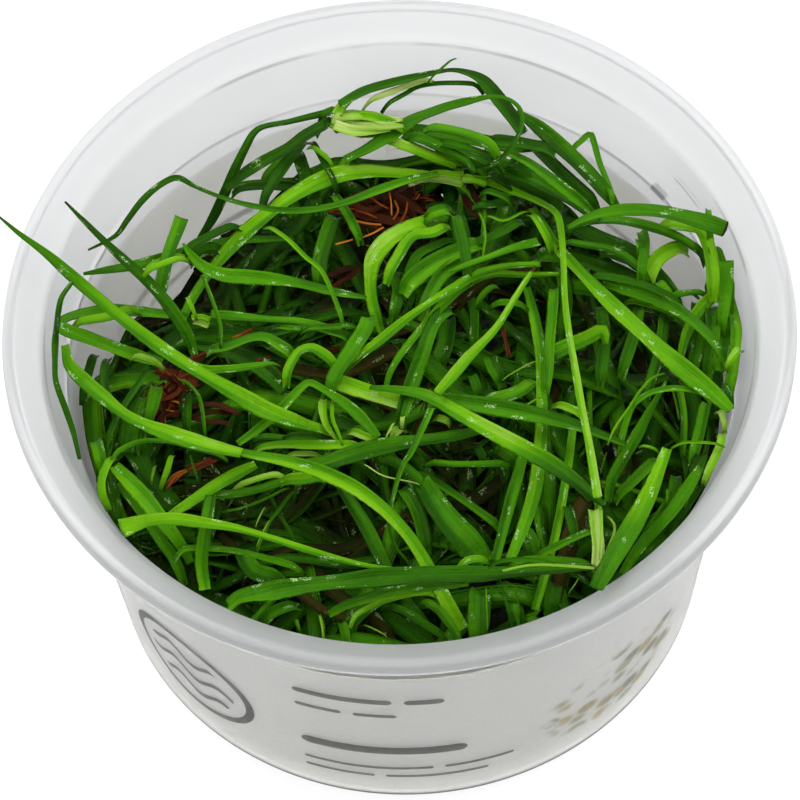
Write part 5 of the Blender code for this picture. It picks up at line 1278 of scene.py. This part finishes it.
class LeafSettings(bpy.types.PropertyGroup):
    thickness: FloatProperty(
        name="Thickness", description="Thickness of a blade at its middle", unit="LENGTH",
        default=0.0003, min=0.0001, max=0.001,
    )
    channel: FloatProperty(
        name="Channel", description="Depth of a blade's channel as a share of its width",
        default=0.18, min=0, max=0.4,
    )
    roll: FloatProperty(
        name="Roll", description="How far a blade turns about its own length",
        subtype="ANGLE", unit="ROTATION", default=0.42, min=0, max=1,
    )
    darkest: FloatVectorProperty(
        name="Darkest green", description="Colour of the darkest leaves", default=linear(13, 42, 2), **COLOUR
    )
    dark: FloatVectorProperty(
        name="Dark green", description="Colour of dark leaves", default=linear(28, 72, 3), **COLOUR
    )
    middle: FloatVectorProperty(
        name="Middle green", description="Colour of most leaves", default=linear(55, 110, 4), **COLOUR
    )
    bright: FloatVectorProperty(
        name="Bright green", description="Colour of bright leaves", default=linear(91, 143, 10), **COLOUR
    )
    brightest: FloatVectorProperty(
        name="Brightest green", description="Colour of the brightest leaves",
        default=linear(121, 159, 54), **COLOUR
    )
    pale: FloatVectorProperty(
        name="Pale green", description="Colour of sheaths and bleached places",
        default=linear(160, 174, 103), **COLOUR
    )
    # Painted highlight: pale specks where the water on the blades catches the light
    painted_glint: FloatVectorProperty(
        name="Glint", description="Colour of the film of water where it catches the light",
        default=linear(150, 182, 124), **COLOUR
    )
    brown: FloatVectorProperty(
        name="Brown", description="Colour of dry tips and flecks", default=linear(52, 37, 13), **COLOUR
    )


class RootSettings(bpy.types.PropertyGroup):
    old: FloatVectorProperty(
        name="Old roots", description="Colour of old roots", default=linear(23, 7, 3), **COLOUR
    )
    young: FloatVectorProperty(
        name="Young roots", description="Colour of young roots", default=linear(86, 30, 6), **COLOUR
    )
    tips: FloatVectorProperty(
        name="Root tips", description="Colour of root tips", default=linear(164, 96, 27), **COLOUR
    )
    strands: IntProperty(
        name="Strands", description="Strands in the larger root ball", default=110, min=10, max=400
    )


class UndergrowthSettings(bpy.types.PropertyGroup):
    depth: FloatProperty(
        name="Depth", description="How far the matted heap lies below the undergrowth's top", unit="LENGTH",
        default=0.0055, min=0.002, max=0.025,
    )
    deep_leaves: IntProperty(
        name="Deep leaves", description="Lesser leaves down in the undergrowth", default=420, min=0, max=1500
    )
    upper_leaves: IntProperty(
        name="Upper leaves", description="Lesser leaves among the main ones", default=120, min=0, max=600
    )
    seed: IntProperty(name="Seed", description="Which chance arrangement is used", default=7, min=0)
    hollow_shade: FloatVectorProperty(
        # Painted shade in the low places of the heap's relief
        name="Deepest", description="Colour of the heap in its hollows", default=linear(5, 7, 3), **COLOUR
    )
    deep: FloatVectorProperty(
        name="Deep", description="Colour of most of the heap", default=linear(11, 20, 5), **COLOUR
    )
    lit: FloatVectorProperty(
        name="Lit", description="Colour of the heap's strands", default=linear(22, 33, 6), **COLOUR
    )


class StageSettings(bpy.types.PropertyGroup):
    floor: FloatVectorProperty(
        name="Floor", description="Colour of the floor", default=(0.2, 0.2, 0.2, 1), **COLOUR
    )
    glow: FloatProperty(
        name="Floor glow", description="Light that comes up through the floor", default=0.8, min=0, max=5
    )
    sky: FloatProperty(name="Sky", description="Strength of the light from above", default=1.65, min=0, max=5)
    walls: FloatProperty(
        name="Walls", description="Strength of the light from the sides", default=0.15, min=0, max=5
    )
    key: FloatProperty(
        name="Key light", description="Power of the main soft light", unit="POWER", default=1.6, min=0, max=50
    )


class RushSettings(bpy.types.PropertyGroup):
    tub: PointerProperty(type=TubSettings)
    label: PointerProperty(type=LabelSettings)
    leaf: PointerProperty(type=LeafSettings)
    root: PointerProperty(type=RootSettings)
    undergrowth: PointerProperty(type=UndergrowthSettings)
    stage: PointerProperty(type=StageSettings)


def blade_form(leaf, roll=1.0, channel=1.0):
    """A blade's roll, thickness in millimetres and channel from the settings."""
    return {"roll": leaf.roll * roll, "thickness": leaf.thickness / MM, "channel": leaf.channel * channel}


def threaded(height, width, points, room=0.5):
    """The path of a lesser leaf between those that are laid, with its widths."""
    rows = [(*point, height, width) if len(point) == 2 else (*point, width)[:4] for point in points]
    seen, widths = smooth_path([row[:3] for row in rows], [row[3] for row in rows], Tangle.FINE)
    return laid_plants()[0].thread(seen, widths, room), widths


class RUSH_OT_tub(bpy.types.Operator):
    """Turn the tub finely, with rounded edges, in milky plastic"""

    bl_idname = "rush.tub"
    bl_label = "Tub"

    def execute(self, context):
        settings = context.scene.rush.tub
        corners = [
            (0.2, FLOOR, 0),
            (FLOOR_RADIUS - HEEL, FLOOR, 2),
            (float(inner_radius(FLOOR + HEEL)), FLOOR + HEEL, 2),
            (BODY_RADIUS, BODY_HEIGHT, 3),
            (STEP_RADIUS, STEP_HEIGHT - 0.1, 0.3),
            (STEP_RADIUS + STEP_WIDTH / 2, STEP_HEIGHT + STEP_WIDTH / 2, 0.3),
            (MOUTH_RADIUS, MOUTH_HEIGHT, 2.5),
            (RIM_RADIUS - WALL, RIM_HEIGHT - WALL / 2, 0.9),
            (RIM_RADIUS, RIM_HEIGHT, 0.7),
            (RIM_RADIUS + WALL, RIM_HEIGHT - WALL / 2, 0.9),
            (LIP_RADIUS, LIP_HEIGHT, 0.25),
            (LIP_RADIUS - WALL, LIP_HEIGHT, 0.25),
            (RIM_RADIUS - WALL / 2, RIM_HEIGHT - 2 * WALL, 0.6),
            (MOUTH_RADIUS + WALL, MOUTH_HEIGHT - WALL, 2.5),
            (STEP_RADIUS + STEP_WIDTH + WALL, STEP_HEIGHT + STEP_WIDTH - WALL / 2, 0.4),
            (STEP_RADIUS + WALL, STEP_HEIGHT - WALL / 2, 0.4),
            (FLOOR_RADIUS + WALL, HEEL, 1.2),
            (FLOOR_RADIUS + WALL - HEEL, 0, 1.2),
            (0.2, 0, 0),
        ]
        profile = rounded([row[:2] for row in corners], [row[2] for row in corners])
        mesh = turned_mesh("tub_shell", profile, settings.steps, False)
        put("tub_shell", mesh, plastic_look(settings), "tub", "tub")
        return {"FINISHED"}


class RUSH_OT_label(bpy.types.Operator):
    """Wrap the paper label round the tub, with plain generic print"""

    bl_idname = "rush.label"
    bl_label = "Label"

    def execute(self, context):
        low = outer_radius(LABEL_BOTTOM) + LABEL_GAP
        high = outer_radius(LABEL_TOP) + LABEL_GAP
        corners = [
            ((low + high) / 2 + LABEL_THICKNESS, (LABEL_BOTTOM + LABEL_TOP) / 2),
            (high + LABEL_THICKNESS, LABEL_TOP),
            (high, LABEL_TOP),
            (low, LABEL_BOTTOM),
            (low + LABEL_THICKNESS, LABEL_BOTTOM),
            ((low + high) / 2 + LABEL_THICKNESS, (LABEL_BOTTOM + LABEL_TOP) / 2),
        ]
        profile = rounded(corners, [0.06] * len(corners), 3)[:-1]
        mesh = turned_mesh("label_sleeve", profile[::-1], context.scene.rush.tub.steps, True)
        put("label_sleeve", mesh, label_look(context.scene.rush.label), "label", "label")
        return {"FINISHED"}


class RUSH_OT_leaves(bpy.types.Operator):
    """Lay each of the main leaves as a channelled, veined blade"""

    bl_idname = "rush.leaves"
    bl_label = "Leaves"

    def execute(self, context):
        settings = context.scene.rush.leaf
        look = leaf_look("rush leaf", settings)
        _, laid = laid_plants()
        for number, name in enumerate(LEAVES):
            path, widths = laid[name]
            strands = Strands()
            rng = np.random.default_rng(100 + number)
            brown_ends = BROWN_ENDS.get(name, (0, 0))
            add_blade(strands, rng, path, widths, TONES[name], brown_ends, blade_form(settings))
            strands.piece(name.replace("leaf", "blade"), look, "leaf", name)
        return {"FINISHED"}


class RUSH_OT_crowns(bpy.types.Operator):
    """Wrap the pale leaf bases in their sheaths"""

    bl_idname = "rush.crowns"
    bl_label = "Crowns"

    def execute(self, context):
        leaf = context.scene.rush.leaf
        look = leaf_look("pale sheath", leaf, 0.6)
        _, laid = laid_plants()
        for number, name in enumerate(CROWNS):
            path, radii = laid[name]
            rng = np.random.default_rng(300 + number)
            along = lengths_along(path)
            strands = Strands()
            rings, sides = tube_rings(path, radii * (1.15 if name == "crown_back" else 0.7), 14, 0.1, 4)
            strands.add(rings, sides, along=along, tone=1.15 - 0.4 * along / along[-1], seed=rng.random())
            for tones, height, width, points in SHEATHS[name]:
                path, widths = threaded(height, width, points, 0.3)
                add_blade(strands, rng, path, widths, tones, look=blade_form(leaf, 0.6, 2.2))
            strands.piece(name.replace("crown", "sheaths"), look, "crown", name)
        return {"FINISHED"}


class RUSH_OT_roots(bpy.types.Operator):
    """Fill the root balls with curling strands"""

    bl_idname = "rush.roots"
    bl_label = "Roots"

    def execute(self, context):
        settings = context.scene.rush.root
        form = blade_form(context.scene.rush.leaf)
        look = root_look(settings)
        _, laid = laid_plants()
        for number, name in enumerate(ROOTS):
            path, radii = laid[name]
            rng = np.random.default_rng(500 + number)
            strands = Strands()
            for tone, height, width, points in DEAD[name]:
                lying, widths = threaded(height, width, points, 0.3)
                lying[:, 2] -= 0.8
                if width < 0.5:
                    add_blade(strands, rng, lying, widths, (tone, tone), look=form)
                    continue
                aside = sideways(lying)
                for share in (-0.32, 0.02, 0.34):
                    bow = np.interp(np.linspace(0, 1, len(widths)), (0, 0.5, 1), rng.uniform(-0.3, 0.3, 3))
                    torn = lying + aside * ((share + bow) * width)[:, None]
                    torn[:, 2] += rng.uniform(-0.4, 0.4)
                    begin = rng.integers(0, max(1, len(widths) // 4))
                    strip = widths * rng.uniform(0.28, 0.5) * np.interp(
                        np.linspace(0, 1, len(widths)), (0, 0.25, 0.7, 1), (0.4, 1, 0.9, 0.2)
                    )
                    shade = np.clip(tone + rng.normal(0, 0.12), 0, 1)
                    add_blade(strands, rng, torn[begin:], strip[begin:], (shade, shade * 0.7), look=form)
            for _ in range(settings.strands if name == "roots_back" else settings.strands // 3):
                at = rng.integers(0, len(path))
                start = path[at] + radii[at] * unit(rng.normal(size=3)) * rng.uniform(0.2, 0.9) * (1, 1, 0.7)
                heading = unit(rng.normal(size=3) * (1, 0.8, 0.2))
                bend = unit(np.cross(heading, rng.normal(size=3))) * rng.uniform(0, 0.12)
                t = np.linspace(0, rng.uniform(2.5, 6), 8)[:, None]
                walk = start + heading * (t - t[-1] / 2) + bend * (t - t[-1] / 2) ** 2
                broad = rng.random() < 0.35
                tone = rng.uniform(0, 0.25) if broad else rng.uniform(0, 1) ** 2 * 0.9
                if broad:
                    widths = rng.uniform(0.8, 1.8) * np.linspace(1, 0.5, 8)
                    add_blade(strands, rng, walk, widths, (tone, tone), look=form, fine=False)
                else:
                    rings, sides = tube_rings(walk, rng.uniform(0.07, 0.17) * np.linspace(1, 0.6, 8), 5)
                    strands.add(rings, sides, along=t[:, 0], tone=tone, seed=rng.random())
            strands.piece(name.replace("roots", "strands"), look, "roots", name)
        return {"FINISHED"}


def wandering(rng, count, lengths, limit, step=1.2):
    """Level walks that curve within a circle, as arrays of x and y, with their numbers of points."""
    radius = limit * np.sqrt(rng.random(count))
    angle = rng.uniform(0, 2 * math.pi, count)
    point = np.column_stack([radius * np.cos(angle), radius * np.sin(angle)])
    heading = rng.uniform(0, 2 * math.pi, count)
    bend = rng.normal(0, 0.011, count)
    sizes = (rng.uniform(*lengths, count) / step).astype(int) + 3
    walks = [point]
    for _ in range(sizes.max()):
        heading = heading + bend * step
        point = point + step * np.column_stack([np.cos(heading), np.sin(heading)])
        reach = np.hypot(point[:, 0], point[:, 1])
        outward = np.arctan2(point[:, 1], point[:, 0])
        turn = np.mod(heading - outward + math.pi, 2 * math.pi) - math.pi
        leaving = (reach > limit) & (np.abs(turn) < math.pi / 2)
        heading = np.where(leaving, outward + np.sign(turn) * math.pi / 2, heading)
        point = np.where((reach > limit)[:, None], point * (limit / reach)[:, None], point)
        walks.append(point)
    walks = np.array(walks)
    return [walks[:size, k] for k, size in enumerate(sizes)]


class RUSH_OT_undergrowth(bpy.types.Operator):
    """Fill the tub with a matted heap and the lesser leaves that lie in it"""

    bl_idname = "rush.undergrowth"
    bl_label = "Undergrowth"

    def execute(self, context):
        settings = context.scene.rush.undergrowth
        leaf = context.scene.rush.leaf
        form = blade_form(leaf)
        look = leaf_look("lesser leaf", leaf, 0.7)
        self.heap(settings)
        rng = np.random.default_rng(settings.seed)

        deep = Strands()
        for walk in wandering(rng, settings.deep_leaves, (22, 60), DEEP_REACH):
            t = np.linspace(0, 1, len(walk))
            depth = 0.4 + 6.5 * rng.random() ** 1.2
            hollow = hollow_depth(*walk.T)
            top = undergrowth_height(*walk.T)
            ends = 4 * np.abs(2 * t - 1) ** 5
            height = top + hollow - depth - ends + 0.6 * np.sin(7 * t + rng.uniform(0, 6))
            height = self.sunk(height, top - 0.4)
            # The deeper a leaf lies, the darker it is painted: painted shade
            self.lay(deep, rng, np.column_stack([walk, height]), form, 0.27 - 0.03 * depth, hollow)
        deep.piece("deep_leaves", look, "undergrowth", "undergrowth")

        lesser = Strands()
        for tones, height, width, points in LESSER:
            path, widths = threaded(height, width, points)
            along = lengths_along(path)
            end = np.minimum(1, np.minimum(along, along[-1] - along) / min(1.8, along[-1] / 3))
            path[:, 2] -= min(1.6, 2 * width) * (1 - end) ** 2
            add_blade(lesser, rng, path, widths * (0.72 + 0.28 * end), tones, look=form)
        lesser.piece("lesser_leaves", look, "undergrowth", "undergrowth")

        upper = Strands()
        tangle, _ = laid_plants()
        eye = np.array(EYE)
        for walk in wandering(rng, settings.upper_leaves, (18, 48), UPPER_REACH):
            t = np.linspace(0, 1, len(walk))
            hollow = hollow_depth(*walk.T)
            ends = 6 * np.abs(2 * t - 1) ** 4
            height = undergrowth_height(*walk.T) + hollow + rng.uniform(-0.8, 2.4) - ends
            height = self.sunk(height, np.where(hollow > 1, height - hollow - 1, height))
            path = np.column_stack([walk, height])
            seen = eye + (path - eye) * ((eye[2] - RIM_HEIGHT) / (eye[2] - path[:, 2:]))
            seen[:, 2] = height
            path = tangle.thread(seen, np.full(len(path), 1.0), 0.5)
            self.lay(upper, rng, path, form, rng.uniform(0.12, 0.5), hollow)
        upper.piece("upper_leaves", look, "undergrowth", "undergrowth")
        return {"FINISHED"}

    def sunk(self, height, most):
        """The heights let down smoothly to where they go below a limit."""
        over = np.pad(np.maximum(0, height - most), 4, mode="edge")
        window = [over[k : k + len(height)] for k in range(9)]
        return height - eased(np.max(window, axis=0), 4)

    def lay(self, strands, rng, path, form, tone, hollow):
        """Adds a leaf of the heap, darker where it lies in a hollow as painted shade, and browner there."""
        width = rng.uniform(0.7, 2.6) ** 1.1
        t = np.linspace(0, 1, len(path))
        widths = width * (1 - 0.75 * t**3) * (0.6 + 0.4 * np.minimum(1, t * 4))
        keep_inside(path, widths)
        tone = max(0.02, tone + rng.normal(0, 0.09))
        brown = 0.8 if rng.random() < 0.14 else rng.uniform(0, 0.3)
        # Darker in hollows: painted shade; browner there as well
        tones = np.maximum(0, tone * np.linspace(1, 0.9, len(path)) - 0.09 * hollow)
        brown = np.clip(brown + 0.1 * hollow, 0, 0.8)
        add_blade(strands, rng, path, widths, tones, look=form, fine=False, brown=brown)

    def heap(self, settings):
        """The closed, rippled heap that the lesser leaves lie on."""
        rings, steps = 70, 180
        radius = np.linspace(0.02, 1, rings)
        angle = np.linspace(0, 2 * math.pi, steps, endpoint=False)
        edge = UNDERGROWTH_RADIUS - 0.5
        x = edge * radius[:, None] * np.cos(angle)
        y = edge * radius[:, None] * np.sin(angle)
        ripple = sum(
            0.5 * np.sin(x * math.cos(a) * k + y * math.sin(a) * k + 3 * a)
            for a, k in ((0.3, 0.9), (1.4, 1.3), (2.5, 1.1), (0.9, 2.1), (2.0, 2.6))
        )
        top = undergrowth_height(x, y) - settings.depth / MM + ripple
        heel = FLOOR_RADIUS - HEEL
        under = [(edge + 0.4, 12.0), (heel - 0.9, 2.4), (heel - 2.2, 1.6), (0.5, 1.55)]
        rows = [np.stack([x, y, top], axis=-1)]
        for reach, height in under:
            ring = [reach * np.cos(angle), reach * np.sin(angle), height + 0.1 * np.sin(angle * 23)]
            rows.append(np.stack(ring, axis=-1)[None])
        points = np.concatenate(rows)
        count = len(points)
        here = np.arange(count - 1)[:, None] * steps
        step, next_step = np.arange(steps), (np.arange(steps) + 1) % steps
        there = here + steps
        faces = np.stack([here + step, there + step, there + next_step, here + next_step], axis=-1)
        faces = faces.reshape(-1, 4).tolist()
        faces += [tuple(range(steps)), tuple((count - 1) * steps + step[::-1])]
        mesh = bpy.data.meshes.new("matted_heap")
        mesh.from_pydata((points.reshape(-1, 3) * MM).tolist(), [], faces)
        put("matted_heap", mesh, heap_look(settings), "undergrowth", "undergrowth")


class RUSH_OT_stage(bpy.types.Operator):
    """Set the pale floor, the soft light and the camera"""

    bl_idname = "rush.stage"
    bl_label = "Stage"

    def execute(self, context):
        scene, settings = context.scene, context.scene.rush.stage
        mesh = bpy.data.meshes.new("floor")
        size = FLOOR_SIZE
        corners = [(-size, -size, 0), (size, -size, 0), (size, size, 0), (-size, size, 0)]
        mesh.from_pydata(corners, [], [(0, 1, 2, 3)])
        look = Look("pale floor", Roughness=0.6, Emission_Color=(1, 1, 1, 1), Emission_Strength=settings.glow)
        where, _ = look.place()
        paler = tuple(min(1.0, c * 1.02) for c in settings.floor)
        look.feed(Base_Color=look.mixed(look.noise(where, 0.02), settings.floor, paler))
        mesh.materials.append(look.material)
        floor = bpy.data.objects.new("floor", mesh)
        scene.collection.objects.link(floor)

        world = bpy.data.worlds.new("soft light")
        world.use_nodes = True
        tree = world.node_tree
        around = tree.nodes.new("ShaderNodeTexCoord")
        split = tree.nodes.new("ShaderNodeSeparateXYZ")
        fade = tree.nodes.new("ShaderNodeMapRange")
        limits = {"From Min": 0.1, "From Max": 0.7, "To Min": settings.walls, "To Max": settings.sky}
        for name, value in limits.items():
            fade.inputs[name].default_value = value
        tree.links.new(around.outputs["Generated"], split.inputs[0])
        tree.links.new(split.outputs["Z"], fade.inputs["Value"])
        tree.links.new(fade.outputs[0], tree.nodes["Background"].inputs["Strength"])
        tree.nodes["Background"].inputs["Color"].default_value = (1, 1, 1, 1)
        scene.world = world
        for name, (place, width, share) in LAMPS.items():
            data = bpy.data.lights.new(name, "AREA")
            data.shape = "DISK"
            data.size = width
            data.energy = settings.key * share
            lamp = bpy.data.objects.new(name, data)
            scene.collection.objects.link(lamp)
            lamp.rotation_euler = Vector(place).to_track_quat("Z", "Y").to_euler()
            lamp.location = place

        data = bpy.data.cameras.new("camera")
        data.sensor_width = SENSOR_WIDTH
        data.lens = FOCAL_LENGTH
        data.clip_start = 0.01
        camera = bpy.data.objects.new("camera", data)
        camera.matrix_world = Matrix(
            (
                (0.99898398, 0.04506199, 0.00065266, 0.0),
                (-0.03812382, 0.85271656, -0.52098084, EYE[1] * MM),
                (-0.02403297, 0.52042663, 0.85356812, EYE[2] * MM),
                (0, 0, 0, 1),
            )
        )
        scene.collection.objects.link(camera)
        scene.camera = camera
        scene.view_settings.view_transform = "Standard"
        scene.cycles.max_bounces = 8
        scene.cycles.diffuse_bounces = 3
        scene.cycles.glossy_bounces = 3
        scene.cycles.transmission_bounces = 6
        return {"FINISHED"}


class RUSH_PT_pieces(bpy.types.Panel):
    """The pieces of the plant in its tub, and their sizes and colours"""

    bl_idname = "RUSH_PT_pieces"
    bl_label = "Creeping rush in its tub"
    bl_space_type = "VIEW_3D"
    bl_region_type = "UI"
    bl_category = "Rush"

    def draw(self, context):
        settings = context.scene.rush
        for operator, group in STEPS:
            box = self.layout.box()
            box.operator(operator.bl_idname)
            if group:
                owner = getattr(settings, group)
                for name in owner.__annotations__:
                    box.prop(owner, name)


STEPS = (
    (RUSH_OT_tub, "tub"),
    (RUSH_OT_label, "label"),
    (RUSH_OT_leaves, "leaf"),
    (RUSH_OT_crowns, None),
    (RUSH_OT_roots, "root"),
    (RUSH_OT_undergrowth, "undergrowth"),
    (RUSH_OT_stage, "stage"),
)
CLASSES = (
    TubSettings,
    LabelSettings,
    LeafSettings,
    RootSettings,
    UndergrowthSettings,
    StageSettings,
    RushSettings,
    *(operator for operator, _ in STEPS),
    RUSH_PT_pieces,
)


def register():
    for made in CLASSES:
        bpy.utils.register_class(made)
    bpy.types.Scene.rush = PointerProperty(type=RushSettings)


def unregister():
    del bpy.types.Scene.rush
    for made in reversed(CLASSES):
        bpy.utils.unregister_class(made)


def main():
    register()
    bpy.ops.rush.tub()
    bpy.ops.rush.label()
    bpy.ops.rush.leaves()
    bpy.ops.rush.crowns()
    bpy.ops.rush.roots()
    bpy.ops.rush.undergrowth()
    bpy.ops.rush.stage()


if __name__ == "__main__":
    main()
